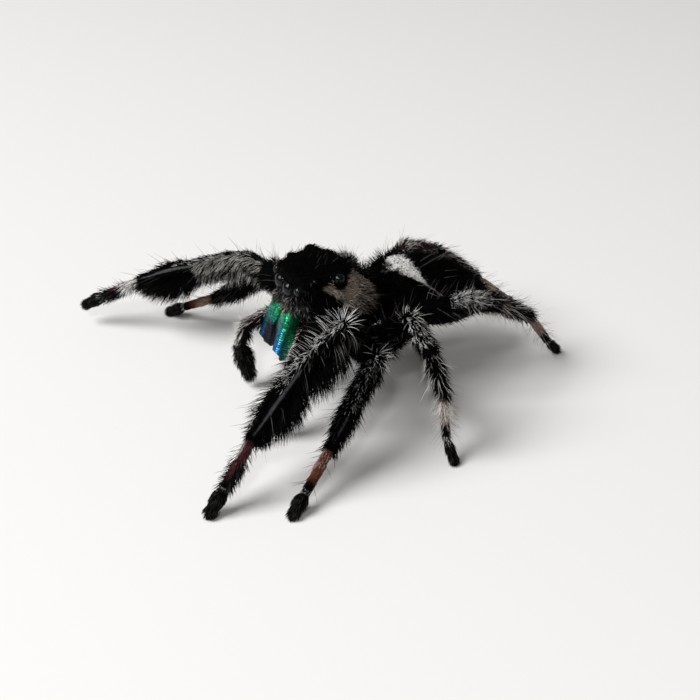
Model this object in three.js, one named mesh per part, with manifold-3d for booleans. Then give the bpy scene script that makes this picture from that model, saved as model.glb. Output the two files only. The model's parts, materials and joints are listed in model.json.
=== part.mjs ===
// A male regal jumping spider (Phidippus regius), life size, standing on seven feet with its right
// front leg raised. Millimetres, +Z up. The spider faces -Y and its left side is +X. Solids reach out
// to the tips of the short coat, and each part is its own solid with a thin gap to its neighbours.
import * as THREE from "three";
import { mergeVertices } from "three/addons/utils/BufferGeometryUtils.js";
import Module from "manifold-3d";

const wasm = await Module();
wasm.setup();

const rad = THREE.MathUtils.degToRad;
const lerp = THREE.MathUtils.lerp;

// Driving dimensions. Places on the body are measured from the middle of the front eyes: x to the
// spider's left, y backwards, z up.
const EYE_HEIGHT = 6.4; // of the middle of the front eyes above the ground
const GAP = 0.04; // between parts that touch
const FLAT_DEPTH = 0.05; // of the flat under each planted foot
const LIMB_SIDES = 9; // of a limb's section
const FOOT_SIDES = 7; // of the two last segments of a leg, of its coxa and of a palp
const BODY_SIDES = 18; // of the head's and the abdomen's sections

// Eyes: centre of the left one of each pair, radius, and how finely the ball is faceted.
const EYES = {
  anterior_median: { centre: [0.46, 0.24, 0], radius: 0.41, detail: 2 },
  anterior_lateral: { centre: [1.23, 0.32, 0.17], radius: 0.25, detail: 1 },
  posterior_median: { centre: [1.53, 1.0, 0.66], radius: 0.12, detail: 0 },
  posterior_lateral: { centre: [1.67, 2.16, 0.62], radius: 0.27, detail: 1 },
};

// The head and thorax, from the face backwards: half width, top, widest level and underside.
const HEAD_LENGTH = 4.85;
const HEAD_SECTIONS = [
  { y: 0.04, half: 0.98, top: 0.62, mid: -0.25, under: -0.7 },
  { y: 0.14, half: 1.17, top: 0.78, mid: -0.3, under: -0.9 },
  { y: 0.4, half: 1.38, top: 0.92, mid: -0.35, under: -1.25 },
  { y: 1.0, half: 1.7, top: 1.05, mid: -0.5, under: -2.1 },
  { y: 2.1, half: 2.06, top: 1.1, mid: -0.65, under: -2.85 },
  { y: 3.0, half: 2.2, top: 0.78, mid: -0.8, under: -3.05 },
  { y: 3.85, half: 2.05, top: 0.05, mid: -0.95, under: -3.0 },
  { y: 4.45, half: 1.7, top: -0.55, mid: -1.15, under: -2.75 },
  { y: HEAD_LENGTH, half: 0.8, top: -0.88, mid: -1.25, under: -1.95 },
];
const HEAD_RINGS = 14;
const HEAD_BOXINESS = [3.4, 2.0]; // exponent of the section's upper half, at the front and the back
const HEAD_KEEL = 2.3; // exponent of its lower half, which narrows to the breastplate

// The abdomen hangs from a narrow waist and droops backwards.
const WAIST = { y: HEAD_LENGTH + 0.1, z: -1.2, radius: 0.32, length: 0.8 };
const ABDOMEN = { length: 6.8, half: 1.9, height: 1.82, droop: 20, lift: 0.15 };
const ABDOMEN_RINGS = 12;
const SPINNERETS = { length: 0.75, radius: 0.25, spread: 0.13, splay: 0.06, sides: 6 };

// Chelicerae, the long front jaws, and the fang folded in under the end of each.
const JAW = {
  base: [0.54, 0.36, -0.95],
  tip: [0.78, -0.66, -3.4],
  half: 0.52,
  depth: 0.43,
  sides: 12,
  stops: [0, 0.12, 0.34, 0.6, 0.84, 1],
};
const FANG = { radius: 0.13, hinge: [0.24, 0.08], reach: [0.72, 0.42], sides: 6 };

// A coxa starts inside its hip and above it, and the four of a side gather towards the middle one.
const HIP = { in: 0.9, drop: -0.45, middle: 2.9, gather: 0.35 };
// Legs by pair: hip on the left side, then each segment's length and its section: dorsal, ventral
// and lateral half sizes, the ventral one with its fringe.
const COXA_RADIUS = 0.52;
const COXA_STOPS = [-0.3, 1.0, 1.5];
const PAIRS = {
  1: {
    hip: [1.75, 1.45, -1.5],
    femur: { length: 3.9, dorsal: 0.74, ventral: 0.82, lateral: 0.56, root: 0.62, end: 0.82 },
    patella: { length: 2.5, dorsal: 0.7, ventral: 0.98, lateral: 0.6, root: 0.8, end: 0.92 },
    tibia: { length: 3.75, dorsal: 0.72, ventral: 1.22, lateral: 0.62, root: 0.8, end: 0.48 },
    metatarsus: { length: 2.35, dorsal: 0.42, ventral: 0.52, lateral: 0.36, root: 0.72, end: 0.62 },
    tarsus: { length: 1.5, dorsal: 0.42, ventral: 0.38, lateral: 0.42, root: 0.5, end: 0.74 },
  },
  2: {
    hip: [2.2, 2.75, -2.6],
    femur: { length: 3.3, dorsal: 0.62, ventral: 0.8, lateral: 0.56, root: 0.8, end: 0.8 },
    patella: { length: 1.75, dorsal: 0.56, ventral: 0.64, lateral: 0.5, root: 0.86, end: 0.9 },
    tibia: { length: 2.8, dorsal: 0.56, ventral: 0.74, lateral: 0.5, root: 0.8, end: 0.56 },
    metatarsus: { length: 2.15, dorsal: 0.34, ventral: 0.4, lateral: 0.31, root: 0.78, end: 0.68 },
    tarsus: { length: 1.3, dorsal: 0.38, ventral: 0.35, lateral: 0.38, root: 0.5, end: 0.76 },
  },
  3: {
    hip: [2.4, 3.9, -3.0],
    femur: { length: 3.86, dorsal: 0.62, ventral: 0.95, lateral: 0.6, root: 0.85, end: 0.7 },
    patella: { length: 1.7, dorsal: 0.54, ventral: 0.58, lateral: 0.47, root: 0.86, end: 0.86 },
    tibia: { length: 2.1, dorsal: 0.48, ventral: 0.54, lateral: 0.42, root: 0.86, end: 0.7 },
    metatarsus: { length: 2.15, dorsal: 0.3, ventral: 0.34, lateral: 0.28, root: 0.86, end: 0.8 },
    tarsus: { length: 1.3, dorsal: 0.32, ventral: 0.3, lateral: 0.32, root: 0.62, end: 0.8 },
  },
  4: {
    hip: [1.85, 5.0, -1.75],
    femur: { length: 3.6, dorsal: 0.64, ventral: 0.74, lateral: 0.5, root: 0.62, end: 0.76 },
    patella: { length: 1.95, dorsal: 0.56, ventral: 0.58, lateral: 0.48, root: 0.88, end: 0.84 },
    tibia: { length: 2.9, dorsal: 0.46, ventral: 0.52, lateral: 0.42, root: 0.84, end: 0.68 },
    metatarsus: { length: 2.4, dorsal: 0.3, ventral: 0.34, lateral: 0.28, root: 0.84, end: 0.8 },
    tarsus: { length: 1.25, dorsal: 0.31, ventral: 0.29, lateral: 0.31, root: 0.64, end: 0.8 },
  },
};
const SEGMENTS = ["femur", "patella", "tibia", "metatarsus", "tarsus"];

// The stance, in degrees. femur: the femur's turn from straight ahead towards its own side, and its
// pitch. knee: the turn of all beyond the femur. pitches: patella, tibia, metatarsus, tarsus. A
// planted leg's tibia pitch is only a first guess, as the foot then sets it.
const STANCE = {
  L1: { femur: [79, 25], knee: 15, pitches: [-25, -38, -51, -46], planted: true },
  L2: { femur: [82.1, 13.7], knee: 31, pitches: [-31, -38, -33, -29], planted: true },
  L3: { femur: [95.7, 46.5], knee: 103, pitches: [-38, -54, -84, -57], planted: true },
  L4: { femur: [156, 11], knee: 193, pitches: [-25, -31, -54, -45], planted: true },
  R1: { femur: [75.3, 1.5], knee: 38.2, pitches: [-18, -18.5, -28, -31.5], planted: false },
  R2: { femur: [71.6, 12], knee: 50.5, pitches: [-43, -35, -27, -27], planted: true },
  R3: { femur: [124.9, 3], knee: 109, pitches: [-31, -15, -31.4, -35.7], planted: true },
  R4: { femur: [155, 6], knee: 182, pitches: [-20, -39, -41, -40], planted: true },
};

// Palps, the feelers beside the jaws, as [turn, pitch] of each segment. The right one reaches out
// and hangs down, and the left one is tucked in beside the jaw.
const PALP = {
  femur: { length: 1.85, dorsal: 0.36, ventral: 0.38, lateral: 0.3, root: 0.8, end: 0.86 },
  shin: { length: 1.15, dorsal: 0.34, ventral: 0.38, lateral: 0.32, root: 0.84, end: 0.9 },
  tarsus: { length: 2.05, dorsal: 0.5, ventral: 0.5, lateral: 0.46, root: 0.76, end: 0.72 },
};
const PALP_SEGMENTS = ["femur", "shin", "tarsus"];
const PALP_PARTS = ["arm", "tarsus"];
const PALP_STANCE = {
  L: { root: [1.4, 0.7, -1.75], turns: [[58, -30], [20, -66], [4, -62]] },
  R: { root: [1.12, 0.3, -1.85], turns: [[20, -28], [14, -72], [178, -76]] },
};

const COLOURS = {
  coat: { color: 0x14100e, roughness: 0.85, metalness: 0 },
  foot: { color: 0x2a1c17, roughness: 0.85, metalness: 0 },
  eye: { color: 0x050505, roughness: 0.1, metalness: 0 },
  jaw: { color: 0x14624a, roughness: 0.3, metalness: 0.7 },
  fang: { color: 0x1c0c08, roughness: 0.3, metalness: 0 },
};

// A place on the body, from its distances to the middle of the front eyes.
const onBody = ([x, y, z]) => new THREE.Vector3(x, y, z + EYE_HEIGHT);
const mirror = ([x, y, z], side) => [x * side, y, z];

// A direction from a turn away from straight ahead (-Y) towards one side, and a pitch.
function heading(side, turn, pitch) {
  const [t, p] = [rad(turn), rad(pitch)];
  return new THREE.Vector3(side * Math.sin(t) * Math.cos(p), -Math.cos(t) * Math.cos(p), Math.sin(p));
}

// A closed geometry as a manifold-3d solid.
function toSolid(geometry) {
  const bare = geometry.clone();
  bare.deleteAttribute("normal");
  bare.deleteAttribute("uv");
  const merged = mergeVertices(bare, 1e-4);
  const mesh = new wasm.Mesh({
    numProp: 3,
    vertProperties: merged.attributes.position.array,
    triVerts: new Uint32Array(merged.index.array),
  });
  return new wasm.Manifold(mesh);
}

// A solid back as a geometry for its mesh.
function toGeometry(solid) {
  const mesh = solid.getMesh();
  const geometry = new THREE.BufferGeometry();
  geometry.setAttribute("position", new THREE.BufferAttribute(mesh.vertProperties.slice(), 3));
  geometry.setIndex(new THREE.BufferAttribute(mesh.triVerts.slice(), 1));
  geometry.computeVertexNormals();
  return geometry;
}

// A closed solid through rings of the same number of points, which run anticlockwise when seen
// from the last ring, with a flat fan over each end.
function solidThrough(rings) {
  const sides = rings[0].length;
  const points = rings.flat();
  const centre = (ring) => ring.reduce((sum, p) => sum.add(p), new THREE.Vector3()).divideScalar(sides);
  points.push(centre(rings[0]), centre(rings[rings.length - 1]));
  const faces = [];
  const last = (rings.length - 1) * sides;
  for (let s = 0; s < sides; s++) {
    const next = (s + 1) % sides;
    for (let r = 0; r < rings.length - 1; r++) {
      const [a, b] = [r * sides, (r + 1) * sides];
      faces.push(a + s, a + next, b + next, a + s, b + next, b + s);
    }
    faces.push(points.length - 2, next, s, points.length - 1, last + s, last + next);
  }
  const geometry = new THREE.BufferGeometry().setFromPoints(points);
  geometry.setIndex(faces);
  return toSolid(geometry);
}

// Everything beyond a plane through a point, as a block to cut with.
const REACH = 40;
function beyond(point, normal) {
  const block = new THREE.BoxGeometry(REACH, REACH, REACH);
  block.translate(0, 0, REACH / 2);
  block.applyQuaternion(new THREE.Quaternion().setFromUnitVectors(new THREE.Vector3(0, 0, 1), normal));
  block.translate(point.x, point.y, point.z);
  return toSolid(block);
}

// A limb's segment: a spindle with domed ends that run past both joints, where planes then cut it.
// dorsal, ventral and lateral are its half sizes in the middle, root and end the shares of them that
// it has at its two ends.
const SPINDLE_STOPS = [-0.55, -0.05, 0.3, 0.66, 1.0, 1.34, 1.6]; // below 0 and over 1 in radii
function spindle(from, to, up, size, grow) {
  const { sides = LIMB_SIDES, stops = SPINDLE_STOPS } = size;
  const axis = to.clone().sub(from);
  const length = axis.length();
  axis.normalize();
  const side = axis.clone().cross(up).normalize();
  const thick = (size.dorsal + size.ventral) / 2;
  const rings = stops.map((stop) => {
    const t = THREE.MathUtils.clamp(stop, 0, 1);
    const past = stop - t;
    const swell = Math.sin(Math.PI * t) ** 0.8;
    const share = Math.max(lerp(size.root, size.end, t), swell) * (1 - 1.1 * past * past);
    const along = t * length + past * thick * share + Math.sign(past) * grow;
    const centre = from.clone().addScaledVector(axis, along);
    return Array.from({ length: sides }, (_, s) => {
      const angle = Math.PI * (0.5 + (2 * s) / sides);
      const rise = Math.sin(angle) > 0 ? size.dorsal : size.ventral;
      return centre
        .clone()
        .addScaledVector(side, (size.lateral * share + grow) * Math.cos(angle))
        .addScaledVector(up, (rise * share + grow) * Math.sin(angle));
    });
  });
  return solidThrough(rings.map((ring) => ring.reverse()));
}

// A round size for a spindle.
const roundSize = (radius, end, sides, stops) => {
  return { dorsal: radius, ventral: radius, lateral: radius, root: 1, end, sides, stops };
};

// The direction that a limb's back faces, square to the segment and in its upright plane.
const backOf = (side, [turn, pitch]) => heading(side, turn, pitch + 90);

// Joints of a chain of segments, each with a length, from a start along its [turn, pitch].
function chain(start, side, lengths, turns) {
  const joints = [start];
  lengths.forEach((length, i) => {
    joints.push(joints[i].clone().addScaledVector(heading(side, ...turns[i]), length));
  });
  return joints;
}

// Cuts a part of a limb where it meets the next: the plane halves the bend between them.
function cutAtJoint(solid, joint, before, after, outwards) {
  const normal = before.clone().add(after).normalize().multiplyScalar(outwards);
  return solid.subtract(beyond(joint.clone().addScaledVector(normal, -GAP / 2), normal));
}

// One builder for each part of a limb, which takes how much to grow and gives the solid. A part is a
// run of segments, given as the numbers of its first and last.
function limb(parts, sizes, joints, side, turns) {
  const axes = sizes.map((_, i) => joints[i + 1].clone().sub(joints[i]).normalize());
  return parts.map(([first, last]) => (grow) => {
    const segment = (i) => spindle(joints[i], joints[i + 1], backOf(side, turns[i]), sizes[i], grow);
    let solid = segment(first);
    for (let i = first + 1; i <= last; i++) solid = solid.add(segment(i));
    if (first > 0) solid = cutAtJoint(solid, joints[first], axes[first - 1], axes[first], -1);
    if (last + 1 < axes.length) solid = cutAtJoint(solid, joints[last + 1], axes[last], axes[last + 1], 1);
    return solid;
  });
}

// The pitch at which one segment brings the end of the chain to the given height.
function plantedPitch(startHeight, lengths, pitches, index, height) {
  const rise = (i) => (i === index ? 0 : lengths[i] * Math.sin(rad(pitches[i])));
  const others = lengths.reduce((sum, _, i) => sum + rise(i), 0);
  return THREE.MathUtils.radToDeg(Math.asin((height - startHeight - others) / lengths[index]));
}

// How far a foot reaches below the end of its axis.
function footDrop(size, side, turn) {
  const [tip, heel] = [new THREE.Vector3(), heading(side, ...turn).multiplyScalar(-size.length)];
  const foot = toGeometry(spindle(heel, tip, backOf(side, turn), size, 0));
  const low = new THREE.Box3().setFromBufferAttribute(foot.attributes.position).min.z;
  return -low;
}

function legBuilders(name) {
  const [side, pair] = [name[0] === "L" ? 1 : -1, PAIRS[name[1]]];
  const stance = STANCE[name];
  const lengths = SEGMENTS.map((s) => pair[s].length);
  const pitches = [stance.femur[1], ...stance.pitches];
  const hip = onBody(mirror(pair.hip, side));
  if (stance.planted) {
    const drop = footDrop({ ...pair.tarsus, sides: FOOT_SIDES }, side, [stance.knee, pitches[4]]);
    pitches[2] = plantedPitch(hip.z, lengths, pitches, 2, drop - FLAT_DEPTH);
  }
  const turns = pitches.map((pitch, i) => [i ? stance.knee : stance.femur[0], pitch]);
  const joints = chain(hip, side, lengths, turns);
  const gather = (HIP.middle - pair.hip[1]) * HIP.gather;
  const root = hip.clone().add(new THREE.Vector3(-side * HIP.in, gather, -HIP.drop));
  const coxa = roundSize(COXA_RADIUS, 1, FOOT_SIDES, COXA_STOPS);
  const inward = hip.clone().sub(root).normalize();
  const up = new THREE.Vector3(0, 0, 1).addScaledVector(inward, -inward.z).normalize();
  const parts = SEGMENTS.map((_, i) => [i, i]);
  const sizes = SEGMENTS.map((s, i) => ({ ...pair[s], sides: i < 3 ? LIMB_SIDES : FOOT_SIDES }));
  const builders = limb(parts, sizes, joints, side, turns);
  const [femur, foot] = [builders[0], builders[4]];
  builders[0] = (grow) => femur(grow).add(spindle(root, hip, up, coxa, grow));
  builders[4] = (grow) => foot(grow).subtract(beyond(new THREE.Vector3(), new THREE.Vector3(0, 0, -1)));
  return builders;
}

function palpBuilders(letter) {
  const side = letter === "L" ? 1 : -1;
  const { root: base, turns } = PALP_STANCE[letter];
  const lengths = PALP_SEGMENTS.map((s) => PALP[s].length);
  const joints = chain(onBody(mirror(base, side)), side, lengths, turns);
  const sizes = PALP_SEGMENTS.map((s) => ({ ...PALP[s], sides: FOOT_SIDES }));
  return limb([[0, 1], [2, 2]], sizes, joints, side, turns);
}

// A value of the head's sections at a place along it, on a smooth curve through them.
function headSection(y, key) {
  const at = HEAD_SECTIONS.findIndex((s, i) => i > 0 && y <= s.y) || HEAD_SECTIONS.length - 1;
  const pick = (i) => HEAD_SECTIONS[THREE.MathUtils.clamp(i, 0, HEAD_SECTIONS.length - 1)][key];
  const [a, b] = [HEAD_SECTIONS[at - 1], HEAD_SECTIONS[at]];
  const t = (y - a.y) / (b.y - a.y);
  const [p0, p1, p2, p3] = [pick(at - 2), pick(at - 1), pick(at), pick(at + 1)];
  const [start, end] = [(p2 - p0) / 2, (p3 - p1) / 2];
  const square = 3 * (p2 - p1) - 2 * start - end;
  const cube = 2 * (p1 - p2) + start + end;
  return p1 + start * t + square * t * t + cube * t * t * t;
}

// A point of a section whose upper and lower halves are superellipses.
function sectionPoint(angle, half, above, below, boxiness) {
  const [c, s] = [Math.cos(angle), Math.sin(angle)];
  const power = 2 / (s > 0 ? boxiness : HEAD_KEEL);
  const bulge = (v) => Math.sign(v) * Math.abs(v) ** power;
  return [half * bulge(c), (s > 0 ? above : below) * bulge(s)];
}

function headSolid(grow) {
  const [front, back] = [HEAD_SECTIONS[0].y, HEAD_LENGTH];
  const rings = Array.from({ length: HEAD_RINGS }, (_, r) => {
    const y = lerp(front, back, (r / (HEAD_RINGS - 1)) ** 1.25);
    const [half, top, mid, under] = ["half", "top", "mid", "under"].map((key) => headSection(y, key));
    const boxiness = lerp(...HEAD_BOXINESS, (y - front) / (back - front));
    const push = r === 0 ? -grow : r === HEAD_RINGS - 1 ? grow : 0;
    return Array.from({ length: BODY_SIDES }, (_, s) => {
      const angle = (2 * Math.PI * (s + 0.5)) / BODY_SIDES;
      const [x, z] = sectionPoint(angle, half + grow, top - mid + grow, mid - under + grow, boxiness);
      return onBody([x, y + push, mid + z]);
    });
  });
  return solidThrough(rings.map((ring) => ring.reverse()));
}

const waistStart = onBody([0, WAIST.y - 0.35, WAIST.z]);
const abdomenAxis = heading(1, 180, -ABDOMEN.droop);
const abdomenUp = heading(1, 180, 90 - ABDOMEN.droop);
const abdomenFront = onBody([0, WAIST.y + 0.1, WAIST.z + ABDOMEN.lift]);

// How full the abdomen is along its length: broad shoulders, then a long taper.
const abdomenFullness = (t) => Math.sin(Math.PI * t ** 0.76) ** (0.25 + 0.42 * t) * (1.03 - 0.12 * t);

function abdomenSolid(grow) {
  const rings = Array.from({ length: ABDOMEN_RINGS }, (_, r) => {
    const t = lerp(0.012, 0.988, (1 - Math.cos((Math.PI * r) / (ABDOMEN_RINGS - 1))) / 2);
    const full = abdomenFullness(t);
    const along = t * ABDOMEN.length + grow * (2 * t - 1);
    const centre = abdomenFront.clone().addScaledVector(abdomenAxis, along);
    return Array.from({ length: BODY_SIDES }, (_, s) => {
      const angle = (2 * Math.PI * (s + 0.5)) / BODY_SIDES;
      const [c, n] = [Math.cos(angle), Math.sin(angle)];
      return centre
        .clone()
        .add(new THREE.Vector3((ABDOMEN.half * full + grow) * c, 0, 0))
        .addScaledVector(abdomenUp, (ABDOMEN.height * full + grow) * n);
    });
  });
  return solidThrough(rings.map((ring) => ring.reverse()));
}

function waistSolid(grow) {
  const end = waistStart.clone().add(new THREE.Vector3(0, WAIST.length, 0));
  const size = roundSize(WAIST.radius, 1, FOOT_SIDES, COXA_STOPS);
  return spindle(waistStart, end, new THREE.Vector3(0, 0, 1), size, grow);
}

// A pair of short spinnerets at the abdomen's tip.
function spinneretSolid(grow) {
  const base = abdomenFront.clone().addScaledVector(abdomenAxis, ABDOMEN.length * 0.95);
  const size = roundSize(SPINNERETS.radius, 0.6, SPINNERETS.sides);
  const [left, right] = [1, -1].map((side) => {
    const from = base.clone().setX(side * SPINNERETS.spread);
    const to = from.clone().addScaledVector(abdomenAxis, SPINNERETS.length);
    to.x += side * SPINNERETS.splay;
    return spindle(from, to, abdomenUp, size, grow);
  });
  return left.add(right);
}

const jawEnds = (side) => [onBody(mirror(JAW.base, side)), onBody(mirror(JAW.tip, side))];

// A jaw: flat-sided, fullest a third of the way down, cut off square at its end.
function jawSolid(side, grow) {
  const [from, to] = jawEnds(side);
  const axis = to.clone().sub(from).normalize();
  const front = new THREE.Vector3(0, -1, 0).addScaledVector(axis, axis.y).normalize();
  const across = axis.clone().cross(front).normalize();
  const rings = JAW.stops.map((t) => {
    const full = 0.86 + 0.2 * Math.sin(Math.PI * t ** 0.8) - 0.1 * t;
    const centre = from.clone().lerp(to, t).addScaledVector(axis, grow * Math.sign(t - 0.5));
    return Array.from({ length: JAW.sides }, (_, s) => {
      const angle = (2 * Math.PI * s) / JAW.sides;
      const [c, n] = [Math.cos(angle), Math.sin(angle)];
      const round = (v) => Math.sign(v) * Math.abs(v) ** 0.75;
      return centre
        .clone()
        .addScaledVector(across, (JAW.half * full + grow) * round(c))
        .addScaledVector(front, (JAW.depth * full + grow) * round(n));
    });
  });
  return solidThrough(rings.map((ring) => ring.reverse())).subtract(
    beyond(onBody([0, 0, 0]).setX(side * (GAP / 2 - grow)), new THREE.Vector3(-side, 0, 0)),
  );
}

// The fang lies folded across the jaw's end, pointing at the middle.
function fangSolid(side, grow) {
  const [from, to] = jawEnds(side);
  const axis = to.clone().sub(from).normalize();
  const start = to.clone().addScaledVector(axis, FANG.radius + GAP);
  start.add(new THREE.Vector3(side * FANG.hinge[0], FANG.hinge[1], 0));
  const end = start.clone().add(new THREE.Vector3(-side * FANG.reach[0], FANG.reach[1], 0));
  const size = roundSize(FANG.radius, 0.4, FANG.sides);
  const along = end.clone().sub(start).normalize();
  const up = axis.clone().addScaledVector(along, -axis.dot(along)).negate().normalize();
  return spindle(start, end, up, size, grow);
}

// An eye is a ball. The socket left for it, when it grows, is a plainer and so a slightly larger one.
const SOCKET_SHARE = 1.07;
function eyeSolid(eye, side, grow) {
  const radius = grow ? (eye.radius + grow) * SOCKET_SHARE : eye.radius;
  const ball = new THREE.IcosahedronGeometry(radius, grow ? 1 : eye.detail);
  const centre = onBody(mirror(eye.centre, side));
  ball.translate(centre.x, centre.y, centre.z);
  return toSolid(ball);
}

const root = new THREE.Group();
const placed = [];

// Adds a part, cut back from every part placed before it.
function place(name, colour, build) {
  const grown = build(GAP);
  const box = new THREE.Box3().setFromBufferAttribute(toGeometry(grown).attributes.position);
  let solid = build(0);
  for (const earlier of placed) {
    if (earlier.box.intersectsBox(box)) solid = solid.subtract(earlier.grown);
  }
  placed.push({ grown, box });
  const mesh = new THREE.Mesh(toGeometry(solid), new THREE.MeshStandardMaterial(COLOURS[colour]));
  mesh.name = name;
  root.add(mesh);
}

const SIDES = { L: 1, R: -1 };
for (const [letter, side] of Object.entries(SIDES)) {
  for (const [kind, eye] of Object.entries(EYES)) {
    place(`eye_${kind}_${letter}`, "eye", (grow) => eyeSolid(eye, side, grow));
  }
  place(`chelicera_${letter}`, "jaw", (grow) => jawSolid(side, grow));
  place(`fang_${letter}`, "fang", (grow) => fangSolid(side, grow));
}
place("cephalothorax", "coat", headSolid);
place("pedicel", "coat", waistSolid);
place("abdomen", "coat", abdomenSolid);
place("spinnerets", "foot", spinneretSolid);
for (const leg of Object.keys(STANCE)) {
  legBuilders(leg).forEach((build, i) => {
    place(`leg_${leg}_${SEGMENTS[i]}`, i > 2 ? "foot" : "coat", build);
  });
}
for (const letter of Object.keys(SIDES)) {
  palpBuilders(letter).forEach((build, i) => place(`palp_${letter}_${PALP_PARTS[i]}`, "coat", build));
}

// The origin is the middle of the whole part's base.
const bounds = new THREE.Box3().setFromObject(root);
const middle = bounds.getCenter(new THREE.Vector3());
root.position.set(-middle.x, -middle.y, -bounds.min.z);

export default root;
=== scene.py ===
import bpy
import json
import math
import numpy as np
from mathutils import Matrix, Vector

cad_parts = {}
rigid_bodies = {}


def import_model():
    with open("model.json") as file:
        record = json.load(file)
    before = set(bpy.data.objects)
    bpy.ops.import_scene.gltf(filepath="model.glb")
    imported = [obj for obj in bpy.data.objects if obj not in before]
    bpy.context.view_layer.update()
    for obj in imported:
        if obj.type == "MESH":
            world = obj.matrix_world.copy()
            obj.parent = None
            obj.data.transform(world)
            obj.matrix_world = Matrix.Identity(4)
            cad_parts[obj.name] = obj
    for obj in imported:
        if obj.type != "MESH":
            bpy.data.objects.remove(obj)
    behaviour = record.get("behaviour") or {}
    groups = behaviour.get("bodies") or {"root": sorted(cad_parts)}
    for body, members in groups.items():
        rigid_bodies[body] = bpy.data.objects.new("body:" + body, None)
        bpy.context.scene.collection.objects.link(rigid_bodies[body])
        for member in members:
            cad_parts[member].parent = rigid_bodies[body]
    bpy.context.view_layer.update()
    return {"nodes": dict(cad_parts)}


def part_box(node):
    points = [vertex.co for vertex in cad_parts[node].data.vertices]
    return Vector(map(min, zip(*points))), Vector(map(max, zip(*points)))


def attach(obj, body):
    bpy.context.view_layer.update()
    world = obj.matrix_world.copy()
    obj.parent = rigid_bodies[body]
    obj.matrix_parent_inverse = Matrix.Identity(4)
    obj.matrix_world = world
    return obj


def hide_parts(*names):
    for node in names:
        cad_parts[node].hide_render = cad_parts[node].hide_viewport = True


for leftover in list(bpy.data.objects):
    bpy.data.objects.remove(leftover)
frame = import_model()

MM = 0.001
SIDES = {"L": 1, "R": -1}
rng = np.random.default_rng(7)


# ---------------- vectors and arrays

def vec(*values):
    return np.array(values, float)


def unit(v):
    return v / np.maximum(np.linalg.norm(v, axis=-1, keepdims=True), 1e-9)


def dot(a, b):
    return (a * b).sum(-1)


def lerp(a, b, t):
    return a + (b - a) * t


def smooth(low, high, x):
    """0 below low, 1 above high, and a soft step between them."""
    t = np.clip((x - low) / (high - low), 0, 1)
    return t * t * (3 - 2 * t)


def between(low, high, x, soft):
    """1 from low to high, and 0 outside, with soft ends."""
    return smooth(low - soft, low + soft, x) * (1 - smooth(high - soft, high + soft, x))


def square_to(v, axis):
    return unit(v - axis * dot(v, axis)[..., None])


def turns(sides):
    """Angles that go once round."""
    return np.linspace(0, 2 * np.pi, sides, endpoint=False)


def squared(x, power):
    """A power that keeps its number's sign: it makes round sections boxy."""
    return np.sign(x) * np.abs(x) ** power


def read(items, what, width=3, kind=float):
    """What all of a mesh's vertices, faces or corners say, as rows."""
    values = np.zeros(len(items) * width, kind)
    items.foreach_get(what, values)
    return values.reshape(-1, width)


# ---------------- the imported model

def box_middle(node):
    low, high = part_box(node)
    return np.array((low + high) / 2) / MM


EYE_SET_BACK = vec(0, 0.24, 0)  # of the front eyes' centres behind the face
FACE = (box_middle("eye_anterior_median_L") + box_middle("eye_anterior_median_R")) / 2 - EYE_SET_BACK
GROUND = -FACE[2]


def eye_centre(kind, letter):
    return box_middle(f"eye_{kind}_{letter}") - FACE


def eye_radius(kind):
    low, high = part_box(f"eye_{kind}_L")
    return (high[2] - low[2]) / 2 / MM


def corners_of(node):
    """A node's vertices, on the axes of the face, and its triangles."""
    mesh = frame["nodes"][node].data
    mesh.calc_loop_triangles()
    return read(mesh.vertices, "co") / MM - FACE, read(mesh.loop_triangles, "vertices", kind=int)


def cut_face(node, neighbour):
    """The corners of the flat face where a limb's node was cut off from its neighbour."""
    points, faces = corners_of(node)
    tri = points[faces]
    cross = np.cross(tri[:, 1] - tri[:, 0], tri[:, 2] - tri[:, 0])
    area = np.linalg.norm(cross, axis=1) / 2
    normal = unit(cross)
    level = dot(normal, tri[:, 0])
    towards = unit(corners_of(neighbour)[0].mean(0) - points.mean(0))
    alike = (normal @ normal.T > 0.9995) & (np.abs(level[:, None] - level[None]) < 0.01)
    best = np.argmax((alike @ area) * (normal @ towards))
    return np.unique(tri[alike[best]].reshape(-1, 3).round(4), axis=0)


# ---------------- flesh, under the coat

SEGMENTS = ["femur", "patella", "tibia", "metatarsus", "tarsus"]
# Half sizes of the flesh of each pair of legs, from the coxa to the tarsus: deep, wide, and the shares
# of them at the root and the end. The ends of the two hind pairs are alike.
HIND_END = [(0.37, 0.33, 0.9, 0.7), (0.22, 0.21, 0.96, 0.9), (0.2, 0.19, 0.8, 0.9)]
FLESH = {
    1: [(0.42, 0.42, 0.9, 1.0), (0.6, 0.46, 0.66, 0.8), (0.6, 0.48, 0.84, 0.96),
        (0.6, 0.48, 0.88, 0.52), (0.26, 0.24, 0.92, 0.86), (0.28, 0.31, 0.6, 0.8)],
    2: [(0.48, 0.48, 0.9, 1.0), (0.56, 0.44, 0.8, 0.78), (0.44, 0.4, 0.86, 0.92),
        (0.44, 0.39, 0.86, 0.6), (0.25, 0.23, 0.95, 0.88), (0.27, 0.29, 0.6, 0.8)],
    3: [(0.48, 0.48, 0.9, 1.0), (0.6, 0.48, 0.86, 0.68), (0.42, 0.38, 0.84, 0.9), *HIND_END],
    4: [(0.46, 0.46, 0.9, 1.0), (0.46, 0.37, 0.5, 0.82), (0.44, 0.39, 0.86, 0.88), *HIND_END],
}
PALP_FLESH = [(0.3, 0.26, 0.8, 0.9), (0.27, 0.25, 0.9, 0.9), (0.36, 0.33, 0.7, 0.66)]
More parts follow.
